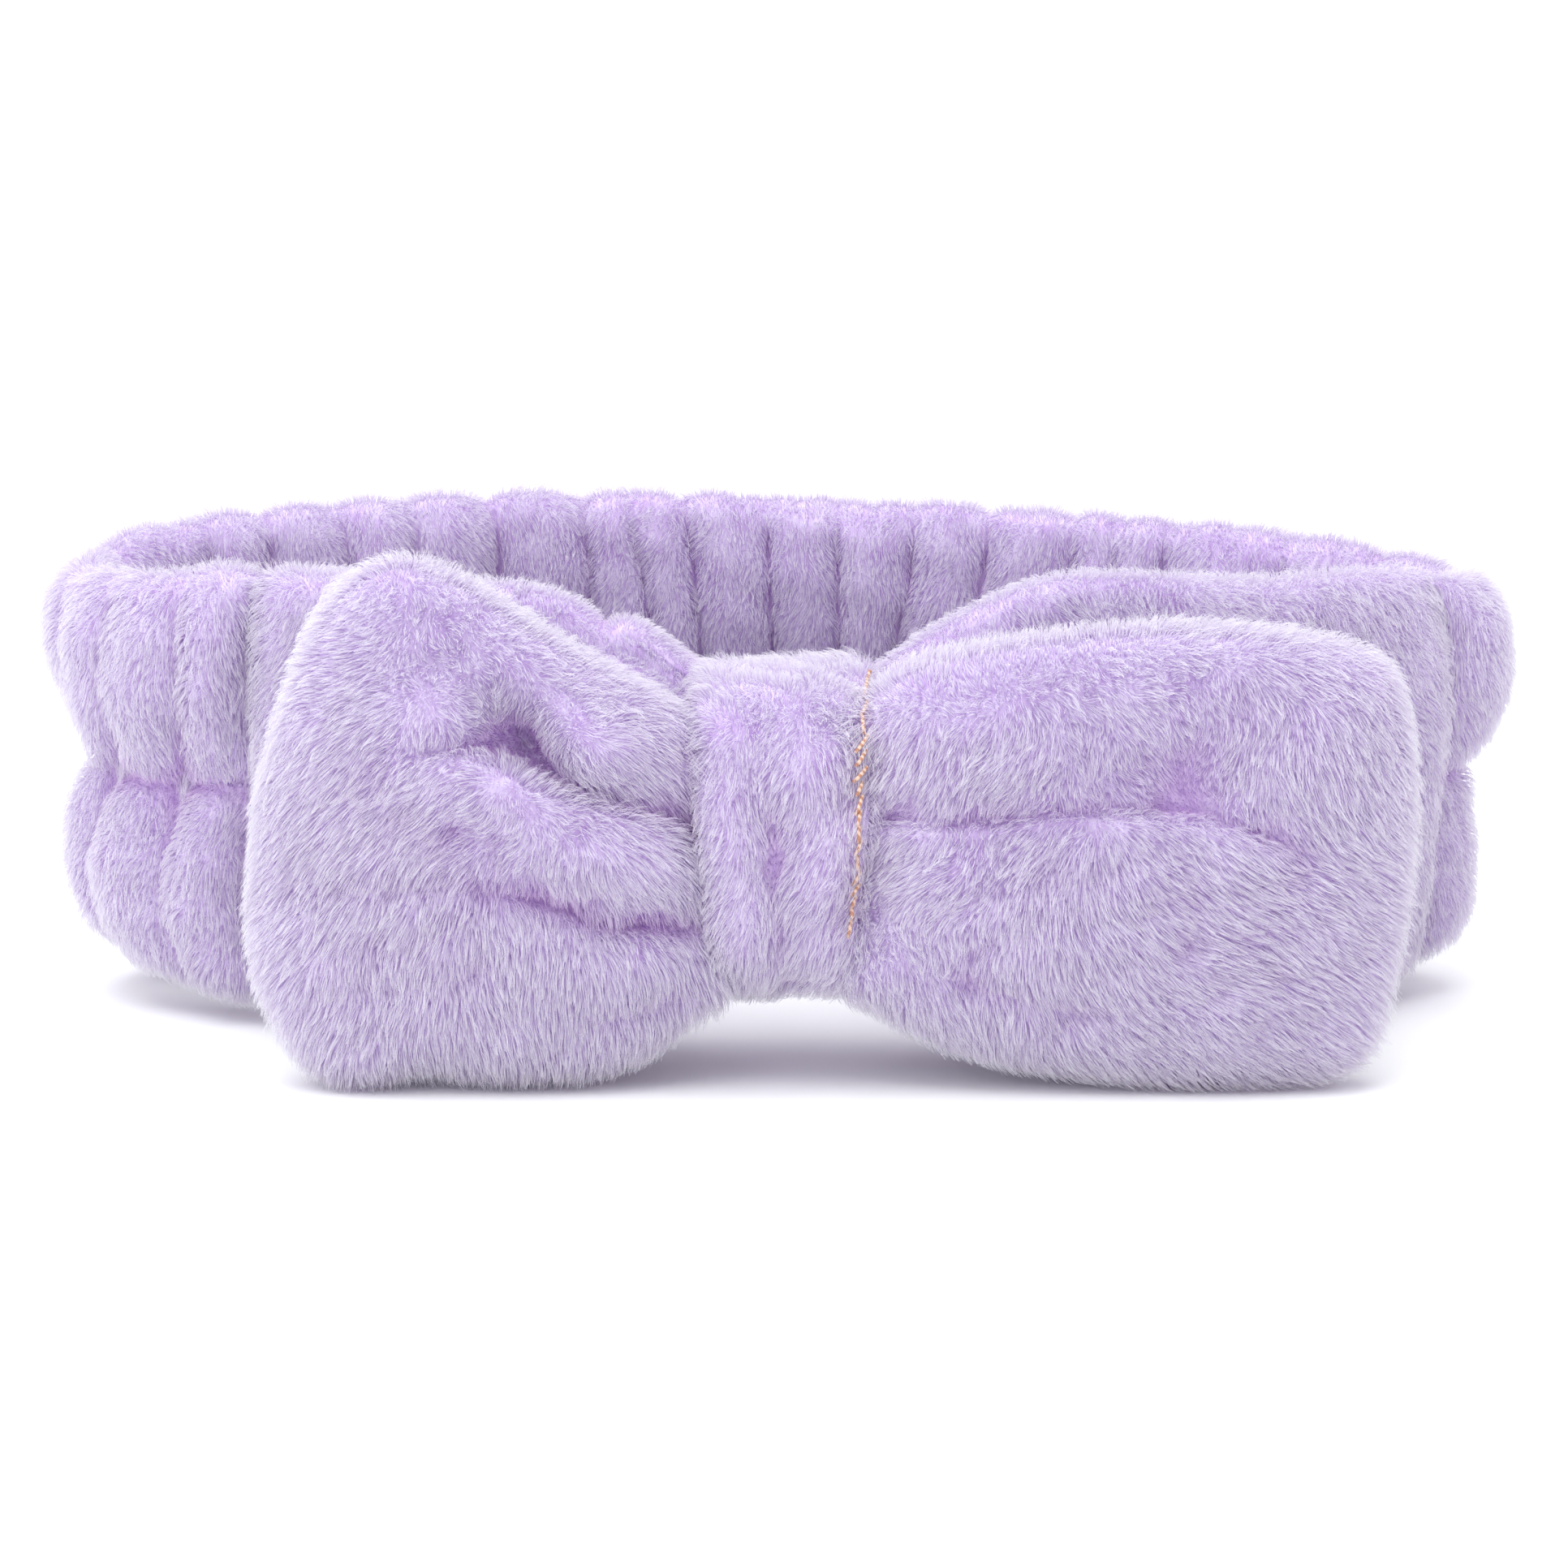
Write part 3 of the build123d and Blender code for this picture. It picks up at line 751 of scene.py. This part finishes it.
def knot_skin(turn, across, sink=0.0):
    """Points on the wrap: turn goes once round from the front's middle, up and over; across is -1 to 1."""
    angle = 2 * math.pi * turn
    deep = (WRAP_HIGH[1] - WRAP_LOW[1]) / 2 - WRAP_PILE
    tall = (WRAP_HIGH[2] - WRAP_LOW[2]) / 2 - WRAP_PILE
    power = 2 / 2.6
    cy = -np.sign(np.cos(angle)) * np.abs(np.cos(angle)) ** power
    cz = np.sign(np.sin(angle)) * np.abs(np.sin(angle)) ** power
    y = WRAP_MID_Y + cy * (deep - sink)
    z = (WRAP_HIGH[2] + WRAP_LOW[2]) / 2 + cz * (tall - sink)
    front = smoothstep(-cy, 0.0, 0.9)
    half = mix(11.6, knot_half_width(z), front)
    edge = np.abs(across) ** 5 * mix(2.2, 0.8, smoothstep(across, -0.5, 0.5))
    y = y - cy * edge
    z = z - cz * edge * 0.7
    folds = 0.4 * np.cos(across * 6.5 + 0.04 * (z - 20)) * front * smoothstep(54 - z, 0, 24)
    y = y + folds
    x = across * half + 0.25 * wobble(np.stack([z, y, across * 0], axis=-1), 16, 61)
    place = np.stack([x, y, z], axis=-1)
    soft = 0.7 * wobble(place, 12, 62) + 0.35 * wobble(place, 6, 63)
    place[..., 1] += soft * cy
    place[..., 2] += soft * cz
    return place


def knot_wrap(material):
    """The strip of plush round the knot."""
    turn, across = np.meshgrid(np.linspace(0, 1, 168, endpoint=False), np.linspace(-1, 1, 30), indexing="ij")
    skin = knot_skin(turn, across)
    lining = knot_skin(turn, across * 0.97, 3.0)
    nap = combed_down(skin, 51, 0.25)
    nap[..., 0] -= 0.3
    piece = shell("knot_wrap_plush", skin, lining, closed=True, nap=nap)
    piece.data.materials.append(material)
    return piece


# ---------------------------------------------------------------- the bow

# Wing outlines, seen from the front: X and Z, anticlockwise from the top of the root.
LEFT_OUTLINE = [
    (-6, 45), (-11, 49.5), (-18, 54.5), (-31.5, 62.5), (-44, 70.5), (-53, 73), (-60.5, 68), (-65.5, 58),
    (-69.5, 45), (-71.5, 31), (-71.5, 18), (-67, 7), (-60, 2), (-50, 3.6), (-38.7, 2.4), (-25, 3.6),
    (-15.5, 9), (-6, 19),
]
RIGHT_OUTLINE = [
    (6, 19), (13, 12.5), (21.7, 8), (31, 5), (48, 2.4), (60, 1.8), (72, 2.8), (79, 6), (82, 16), (84, 28),
    (84.5, 42), (83, 54), (79, 60), (66, 63), (52, 64), (38, 63), (22, 60), (12, 55), (6, 48),
]


def squircle(across, up):
    """A square's points moved onto a disc: the share of the way to its rim, and the angle."""
    u = across * np.sqrt(1 - up**2 / 2)
    v = up * np.sqrt(1 - across**2 / 2)
    return np.minimum(np.hypot(u, v), 1.0), np.arctan2(v, u)


def fitted(outline, centre, across, up):
    """X and Z of a square's points spread over an outline, and each one's share of the way to the rim."""
    rim = curve_through(outline, 900, closed=True) - centre
    angle = np.arctan2(rim[:, 1], rim[:, 0])
    order = np.argsort(angle)
    angle, reach = angle[order], np.hypot(rim[:, 0], rim[:, 1])[order]
    share, way = squircle(across, up)
    far = np.interp(way, angle, reach, period=2 * math.pi)
    return centre[0] + share * far * np.cos(way), centre[1] + share * far * np.sin(way), share


def line_height(x, points):
    """Height at x of a smooth line through points, which run in order of X."""
    rows = curve_through(sorted(points), 200)
    return np.interp(x, rows[:, 0], rows[:, 1])


def line_reach(x, points, soft):
    """1 along the stretch of a line and 0 past its ends."""
    xs = [p[0] for p in points]
    low, high = min(xs), max(xs)
    return smoothstep(x, low - soft, low + soft) * (1 - smoothstep(x, high - soft, high + soft))


def crease(x, z, points, depth, width, soft=6):
    """A narrow valley along a line."""
    off = z - line_height(x, points)
    return -depth * np.exp(-np.abs(off) / width) * line_reach(x, points, soft)


def lip(x, z, points, depth, width, edge=0.9, soft=5):
    """Cloth tucked behind the line from above: a steep drop at the line that rises slowly above it."""
    off = z - line_height(x, points)
    behind = smoothstep(off, -edge, edge) * np.exp(-np.maximum(off, 0) / width)
    return -depth * behind * line_reach(x, points, soft)


def ridge(x, z, points, height, width, soft=6):
    """A rounded fold along a line."""
    off = z - line_height(x, points)
    return height * np.exp(-((off / width) ** 2)) * line_reach(x, points, soft)


def dome(x, z, at, size, height):
    """A soft swelling, or a dent where height is below 0."""
    return height * np.exp(-(((x - at[0]) / size[0]) ** 2) - ((z - at[1]) / size[1]) ** 2)


def hollow(x, z, at, size, turn, depth):
    """An oval hollow, turned from the X axis."""
    u = (x - at[0]) * math.cos(turn) + (z - at[1]) * math.sin(turn)
    v = -(x - at[0]) * math.sin(turn) + (z - at[1]) * math.cos(turn)
    return depth * np.exp(-((u / size[0]) ** 2) - (v / size[1]) ** 2)


def left_folds(x, z):
    """How far the left wing's front stands out, past its plain puffed shape."""
    mouth = [(-50, 48.8), (-43, 48.8), (-37, 46.4), (-29.5, 42.8), (-22.5, 40.6), (-15, 37.4), (-11, 34)]
    off = z - line_height(x, mouth)
    above = smoothstep(off, -0.7, 0.9) * line_reach(x, mouth, 3)
    f = -above * np.exp(-np.maximum(off, 0) / 3.0) * mix(1.2, 3.4, smoothstep(x, -50, -38))
    f -= above * hollow(x, z, (-34.5, 49.0), (7.5, 4.6), -0.9, 7.0)
    f += ridge(x, z + 3.4, mouth, 2.6, 5.0)
    f += dome(x, z, (-46.5, 54.5), (6.5, 5), 2.6)
    f += dome(x, z, (-24.5, 51), (8, 6), 3.4)
    f += crease(x, z, [(-32, 60), (-26, 56), (-19, 52), (-10, 46)], 0.8, 2.2)
    f += crease(x, z, [(-38, 29.5), (-30, 27), (-23, 24.4), (-8, 24)], 2.4, 2.4)
    f += crease(x, z, [(-66, 31), (-54, 31), (-42, 30.5), (-30, 29)], 0.9, 3.2)
    f += ridge(x, z, [(-34, 36), (-26, 34), (-18, 31.5), (-8, 30)], 1.8, 4.0)
    f += crease(x, z, [(-26, 12), (-17, 14), (-8, 16)], 1.4, 2.0)
    f += dome(x, z, (-17, 20), (8, 4), 1.6)
    return f


def right_folds(x, z):
    """The right wing's long tuck, its dent and its swellings."""
    f = lip(x, z, [(8, 38.2), (25, 38.6), (40, 40.0), (51, 39.6), (59, 38.6), (68, 35)], 1.8, 7.0)
    f += crease(x, z, [(20, 19), (32, 15.7), (41, 13.5)], 1.3, 2.2)
    f += dome(x, z, (54, 47), (11, 8), -2.2)
    f += dome(x, z, (30, 52), (18, 9), 1.2)
    f += dome(x, z, (45, 26), (26, 11), 1.4)
    f += dome(x, z, (78, 48), (9, 12), 1.0)
    return f


# root is half the thickness at the knot, flat is a layer's flat size in metres, which is an estimate, and
# away is how strongly the nap turns from the knot.
WINGS = {
    "left": {
        "outline": LEFT_OUTLINE, "centre": np.array((-39.0, 36.0)), "side": -1,
        "root": 4.6, "flat": (0.072, 0.072), "away": 0.25, "folds": left_folds,
    },
    "right": {
        "outline": RIGHT_OUTLINE, "centre": np.array((46.0, 34.0)), "side": 1,
        "root": 7.4, "flat": (0.085, 0.068), "away": 1.0, "folds": right_folds,
    },
}
WING_PUFF = 7.8  # half of a wing's thickness at its fullest
WING_STEPS = 92  # points along each side of a layer's grid
WING_BARE = 7  # the pile starts this far from the knot's middle


def wing_skin(wing, face, across, up, sink=0.0):
    """Points on one layer of a wing. face is -1 in front and 1 behind."""
    x, z, share = fitted(wing["outline"], wing["centre"], across, up)
    reach = x * wing["side"]
    full = mix(wing["root"], WING_PUFF, smoothstep(reach, 10, 30)) * mix(1.0, 0.86, smoothstep(reach, 50, 85))
    round_edge = np.sqrt(np.maximum(1 - share**4, 0))
    puff = full * round_edge
    flat = np.stack([x, z, np.zeros_like(x)], axis=-1)
    folds = wing["folds"](x, z) if face < 0 else 0.9 * wobble(flat, 34, 77) + pleats_behind(reach, z)
    pinch = mix(0.35, 1.0, smoothstep(reach, 9, 18))
    soft = 0.45 * wobble(flat, 15, 71 - face) + 0.18 * wobble(flat, 4.5, 73) + 0.08 * wobble(flat, 2.2, 74)
    puff = puff + (folds * pinch + soft) * smoothstep(1 - share, 0.0, 0.22)
    puff = np.maximum(puff - sink, 0.12 * full * round_edge)
    y = BOW_Y + face * puff + wing_bend(flat)
    return np.stack([x, y, z], axis=-1)


def wing_bend(flat):
    """Both layers of a wing bend a little together."""
    return 0.6 * wobble(flat, 40, 75)


def pleats_behind(reach, z):
    """The pleats that fan out of the knot on the back of a wing."""
    return 1.1 * np.cos((z - 34) * 0.62) * (1 - smoothstep(reach, 12, 34))


def wing_nap(wing, place):
    """The pile swirls: down from the upper edge, and away from the knot lower down."""
    x, z = place[..., 0], place[..., 2]
    outward = np.stack([x - wing["centre"][0], 0 * x, z - wing["centre"][1]], axis=-1)
    outward /= np.maximum(np.linalg.norm(outward, axis=-1, keepdims=True), 8)
    away = smoothstep(-z, -52, -22) * wing["away"]
    nap = outward * 0.55
    nap[..., 0] += wing["side"] * away + 0.5 * wobble(place, 42, 81) + 0.25 * wobble(place, 13, 82)
    nap[..., 2] += -1 + 0.55 * away + 0.35 * wobble(place, 46, 83)
    return nap


def wing_panel(name, wing, face, material):
    """One layer of a wing."""
    steps = np.linspace(-1, 1, WING_STEPS)
    across, up = np.meshgrid(steps, steps, indexing="ij")
    skin = wing_skin(wing, face, across, up)
    lining = wing_skin(wing, face, across * 0.985, up * 0.985, CLOTH)
    hidden = skin[..., 0] * wing["side"] < WING_BARE
    piece = shell(name, skin, lining, nap=wing_nap(wing, skin), pile=np.where(hidden, 0.0, 1.0))
    piece.data.materials.append(material)
    return piece


def wing_blend(piece):
    """Bakes the piece's place into its mesh."""
    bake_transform(piece)


# ---------------------------------------------------------------- seams, stitches and what is inside

SEAM_SINK = 1.3  # how far a seam's thread lies under the cloth's face
THREAD = 0.3  # its radius
CHANNEL_PITCH, CHANNEL_STITCH = 3.4, 2.4
TAPE_HALF = 0.35  # half the elastic's thickness


def ring_thread(name, start, end, turn, material):
    """A seam's thread along the band's upper or lower edge."""
    distance = np.linspace(start, end, int((end - start) / 2.0))
    run = band_skin(distance, np.full_like(distance, turn), SEAM_SINK)
    return threads(name, [run], THREAD, material)


def side_thread(name, distance, material):
    """A side seam's thread, once round the band's section."""
    turn = np.linspace(0, 1, 120, endpoint=False)
    run = band_skin(np.full_like(turn, distance), turn, SEAM_SINK)
    return threads(name, [run], THREAD, material, closed=True)


def channel_stitches(name, turn, material):
    """Stitches along the waist, which hold the elastic's channel."""
    runs = []
    for start in np.arange(RIGHT_SEAM + 3, LEFT_SEAM - 4, CHANNEL_PITCH):
        distance = np.linspace(start, start + CHANNEL_STITCH, 5)
        runs.append(band_skin(distance, np.full_like(distance, turn), -0.15))
    return threads(name, runs, 0.28, material)


def threads(name, runs, radius, material, closed=False):
    """Threads along runs of points, as one piece."""
    piece = tube(name, runs, radius, closed)
    piece.data.materials.append(material)
    return piece


def elastic(material):
    """The flat elastic inside the rear length, which waves with the gathers."""
    along, down = np.linspace(RIGHT_SEAM + 2, LEFT_SEAM - 2, 420), np.linspace(0.21, 0.29, 15)
    distance, turn = np.meshgrid(along, down, indexing="ij")
    middle = (band_skin(distance, turn) + band_skin(distance, 1 - turn)) / 2
    *_, nx, ny = RING.at(distance)
    way = np.stack([nx, ny, 0 * nx], axis=-1)
    piece = shell("elastic_tape_knit", middle + TAPE_HALF * way, middle - TAPE_HALF * way)
    piece.data.materials.append(material)
    return piece


def bow_centre(material):
    """The bow's middle, pleated small and hidden in the wrap."""
    low, high = node_box("bow_centre")
    middle, half = (low + high) / 2, (high - low) / 2 - 0.5
    turn, across = np.meshgrid(np.linspace(0, 1, 150, endpoint=False), np.linspace(-1, 1, 14), indexing="ij")
    angle = 2 * math.pi * turn
    pleat = 1 - 0.07 * (1 + np.cos(11 * angle)) - 0.05 * (1 - across**2)
    layers = []
    for sink in (0.0, 1.5):
        y = middle[1] + np.cos(angle) * (half[1] * pleat - sink)
        z = middle[2] + np.sin(angle) * (half[2] * pleat - sink)
        layers.append(np.stack([across * 5.6, y, z], axis=-1))
    piece = shell("bow_centre_pleats", *layers, closed=True)
    piece.data.materials.append(material)
    return piece


def gather_thread(material):
    """Three turns of thread that hold the pleats."""
    low, high = node_box("bow_centre")
    middle, half = (low + high) / 2, (high - low) / 2 * 0.98
    angle = np.linspace(0, 6 * math.pi, 240)
    x = np.linspace(-1.6, 1.6, 240)
    y = middle[1] + np.cos(angle) * half[1]
    z = middle[2] + np.sin(angle) * half[2]
    return threads("bow_gather_thread_turns", [np.stack([x, y, z], axis=-1)], THREAD, material)


# Where the wrap's front seam runs, seen from the front: X and Z from the top down.
WRAP_SEAM = [(11.6, 57.5), (10.9, 53.5), (10.3, 45.6), (9.9, 32.1), (8.6, 21.9)]


def wrap_front(x, z, out):
    """A point on the wrap's front at x and z, raised by out."""
    middle = (WRAP_HIGH[2] + WRAP_LOW[2]) / 2
    tall = (WRAP_HIGH[2] - WRAP_LOW[2]) / 2 - WRAP_PILE
    rise = np.clip((z - middle) / tall, -0.999, 0.999)
    angle = np.arcsin(np.sign(rise) * np.abs(rise) ** 1.3)
    skin = knot_skin(angle / (2 * math.pi), np.clip(x / knot_half_width(z), -0.98, 0.98))
    return np.stack([x + 0 * z, skin[..., 1] - out, z], axis=-1)


def wrap_stitches(material):
    """Small uneven hand stitches down the wrap's right-hand seam."""
    rng = np.random.default_rng(4)
    line = curve_through(WRAP_SEAM, 300)
    runs = []
    z = line[0, 1]
    while z > line[-1, 1] + 1.5:
        length = rng.uniform(1.5, 2.6)
        slant = rng.uniform(-0.5, 0.9)
        heights = np.linspace(z, z - length, 6)
        x = np.interp(heights, line[::-1, 1], line[::-1, 0]) + np.linspace(slant, -slant, 6)
        arch = np.sin(np.linspace(0, math.pi, 6))
        proud = mix(0.8, 1.7, smoothstep(heights, 28, 48))
        runs.append(wrap_front(x, heights, proud + 0.8 * arch))
        z -= length * rng.uniform(0.75, 1.1)
    return threads("knot_seam_stitches_thread", runs, 0.27, material)


def back_stitches(material):
    """Stitches that close the wrap behind, inside the head opening."""
    low, high = node_box("knot_back_stitches")
    runs = []
    for k, z in enumerate(np.arange(low[2] + 1, high[2] - 2, 3.4)):
        slant = 0.7 if k % 2 else -0.7
        steps = np.linspace(-1, 1, 6)
        y = WRAP_HIGH[1] - WRAP_PILE - 0.6 + 1.4 * np.sqrt(1 - 0.8 * steps**2)
        runs.append(np.stack([slant * steps, y, z + 1.2 * steps], axis=-1))
    return threads("knot_back_stitches_thread", runs, 0.3, material)


def wing_thread(name, wing, material):
    """The thread inside a wing's edge."""
    rim = curve_through(wing["outline"], 300, closed=True)
    rim = wing["centre"] + (rim - wing["centre"]) * 0.965
    flat = np.stack([rim[:, 0], rim[:, 1], 0 * rim[:, 0]], axis=-1)
    run = np.stack([rim[:, 0], BOW_Y + wing_bend(flat), rim[:, 1]], axis=-1)
    return threads(name, [run], THREAD, material, closed=True)


# ---------------------------------------------------------------- the scene


SKY_COLOUR, SKY_STRENGTH = (0.98, 0.98, 1.0, 1), 1.03
FLOOR_SIZE, FLOOR_COLOUR = 6, (0.93, 0.93, 0.94, 1)
LAMP_COLOUR = (0.95, 1.0, 0.955)  # a little green, which takes a violet cast off the lit pile
LAMPS = {  # each one's place, size and power
    "key": ((-0.85, -0.6, 0.75), 1.2, 5.2),
    "top": ((-0.1, -0.2, 1.15), 1.2, 12.5),
    "rim": ((0.1, 0.8, 0.9), 1.0, 1.0),
}


def studio():
    """A bright even room, a pale floor and three large soft lamps."""
    scene = bpy.context.scene
    scene.view_settings.view_transform = "Standard"
    world = bpy.data.worlds.new("studio")
    world.use_nodes = True
    sky = world.node_tree.nodes["Background"]
    sky.inputs["Color"].default_value = SKY_COLOUR
    sky.inputs["Strength"].default_value = SKY_STRENGTH
    scene.world = world
    bpy.ops.mesh.primitive_plane_add(size=FLOOR_SIZE)
    floor = bpy.context.object
    floor.name = "floor"
    paint = Shader("pale_floor", roughness=0.8, specular=0.1)
    paint.bsdf.inputs["Base Color"].default_value = FLOOR_COLOUR
    floor.data.materials.append(paint.material)
    for name, (place, size, power) in LAMPS.items():
        area_light(name, place, size, power)


def area_light(name, place, size, power):
    """A square lamp that faces the headband."""
    data = bpy.data.lights.new(name, "AREA")
    data.size = size
    data.energy = power
    data.color = LAMP_COLOUR
    lamp = bpy.data.objects.new(name, data)
    bpy.context.scene.collection.objects.link(lamp)
    lamp.location = place
    lamp.rotation_mode = "QUATERNION"
    lamp.rotation_quaternion = (CAMERA_TARGET - Vector(place)).to_track_quat("-Z", "Y")


def camera():
    """The scene's camera, in front of the bow."""
    data = bpy.data.cameras.new("camera")
    data.sensor_width = 36
    data.lens = CAMERA_LENS
    data.clip_start = 0.05
    eye = bpy.data.objects.new("camera", data)
    bpy.context.scene.collection.objects.link(eye)
    back = Vector((0, -math.cos(CAMERA_ELEVATION), math.sin(CAMERA_ELEVATION)))
    eye.location = CAMERA_TARGET + back * CAMERA_DISTANCE
    eye.rotation_mode = "QUATERNION"
    eye.rotation_quaternion = (-back).to_track_quat("-Z", "Y")
    bpy.context.scene.camera = eye


# Lengths of the pile's fibres.
BAND_PILE_OUT, BAND_PILE_IN = 3.0, 2.3
WRAP_PILE_LENGTH = 3.2
WING_PILE = 3.8

# The band's four layers: where each starts and ends round the ring, and whether it faces out.
PANELS = {
    "rear_outer_panel": (RIGHT_SEAM, LEFT_SEAM, True),
    "rear_inner_panel": (RIGHT_SEAM, LEFT_SEAM, False),
    "front_outer_panel": (LEFT_SEAM, RIGHT_SEAM + RING.length, True),
    "front_inner_panel": (LEFT_SEAM, RIGHT_SEAM + RING.length, False),
}

# The band's edge seams: where each starts and ends round the ring, and its turn round the section.
EDGE_SEAMS = {
    "rear_top_seam": (RIGHT_SEAM + 1, LEFT_SEAM - 1, 0.0),
    "rear_bottom_seam": (RIGHT_SEAM + 1, LEFT_SEAM - 1, 0.5),
    "front_top_seam": (LEFT_SEAM + 1, RIGHT_SEAM + RING.length - 1, 0.0),
    "front_bottom_seam": (LEFT_SEAM + 1, RIGHT_SEAM + RING.length - 1, 0.5),
}


def stands_for(node):
    """Hides the CAD node that the piece stands in for."""
    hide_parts(node)


def build_band(backing, fibre):
    """The band's four layers of plush."""
    for k, (node, (start, end, outside)) in enumerate(PANELS.items()):
        piece = band_panel(node + "_plush", start, end, outside, backing)
        band_blend(piece)
        stands_for(node)
        furred(piece, fibre, BAND_PILE_OUT if outside else BAND_PILE_IN, stray=0.5, seed=k + 1)


def build_knot(backing, fibre):
    """The wrap, which stays with the front of the band."""
    wrap = knot_wrap(backing)
    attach(wrap, "front")
    stands_for("knot_wrap")
    furred(wrap, fibre, WRAP_PILE_LENGTH, clump=0.5, stray=0.9, seed=11)


def build_bow(backing, fibre):
    """Two layers for each wing."""
    for side, wing in WINGS.items():
        for face, layer in ((-1, "front"), (1, "back")):
            node = f"{side}_wing_{layer}_panel"
            piece = wing_panel(node + "_plush", wing, face, backing)
            wing_blend(piece)
            stands_for(node)
            furred(piece, fibre, WING_PILE, clump=0.46, stray=0.7, seed=20 + face)


def build_band_seams(thread):
    """The threads of the channel, the band's edges and its side seams."""
    seams = {}
    for node, turn in {"channel_stitches_outer": 0.25, "channel_stitches_inner": 0.75}.items():
        seams[node] = channel_stitches(node + "_thread", turn, thread)
    for node, (start, end, turn) in EDGE_SEAMS.items():
        seams[node] = ring_thread(node + "_thread", start, end, turn, thread)
    for node, distance in {"left_side_seam": LEFT_SEAM, "right_side_seam": RIGHT_SEAM}.items():
        seams[node] = side_thread(node + "_thread", distance, thread)
    for node, piece in seams.items():
        band_blend(piece)
        stands_for(node)


def build_elastic():
    """The elastic tape."""
    tape = elastic(elastic_material(linear(190, 186, 196), linear(235, 233, 238)))
    band_blend(tape)
    stands_for("elastic_tape")


def build_inside_knot(backing, thread, tan_thread):
    """The bow's pinched middle, and the threads that hold it and the wrap."""
    centre = bow_centre(backing)
    for piece, node, slot in (
        (centre, "bow_centre", "plush_bow"),
        (gather_thread(thread), "bow_gather_thread", "thread_lilac"),
        (wrap_stitches(tan_thread), "knot_seam_stitches", "thread_tan"),
        (back_stitches(tan_thread), "knot_back_stitches", "thread_tan"),
    ):
        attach(piece, "front")
        stands_for(node)


def build_wing_seams(thread):
    """The thread round each wing's edge."""
    for side, wing in WINGS.items():
        piece = wing_thread(side + "_wing_edge_seam_thread", wing, thread)
        wing_blend(piece)
        stands_for(side + "_wing_edge_seam")


def build_headband():
    """Every piece of the headband, in its materials."""
    backing = backing_material("lilac_pile_foot", linear(194, 162, 218), linear(228, 214, 242))
    fibre = fibre_material("lilac_fibre", LILAC_ROOT_PAINTED_SHADE, LILAC_MIDDLE, LILAC_TIP_PAINTED_HIGHLIGHT)
    thread = thread_material("lilac_thread", linear(150, 130, 185), linear(200, 186, 222))
    tan_thread = thread_material("tan_thread", linear(176, 122, 96), linear(218, 186, 168))
    build_band(backing, fibre)
    build_knot(backing, fibre)
    build_bow(backing, fibre)
    build_band_seams(thread)
    build_elastic()
    build_inside_knot(backing, thread, tan_thread)
    build_wing_seams(thread)


camera()
studio()
build_headband()
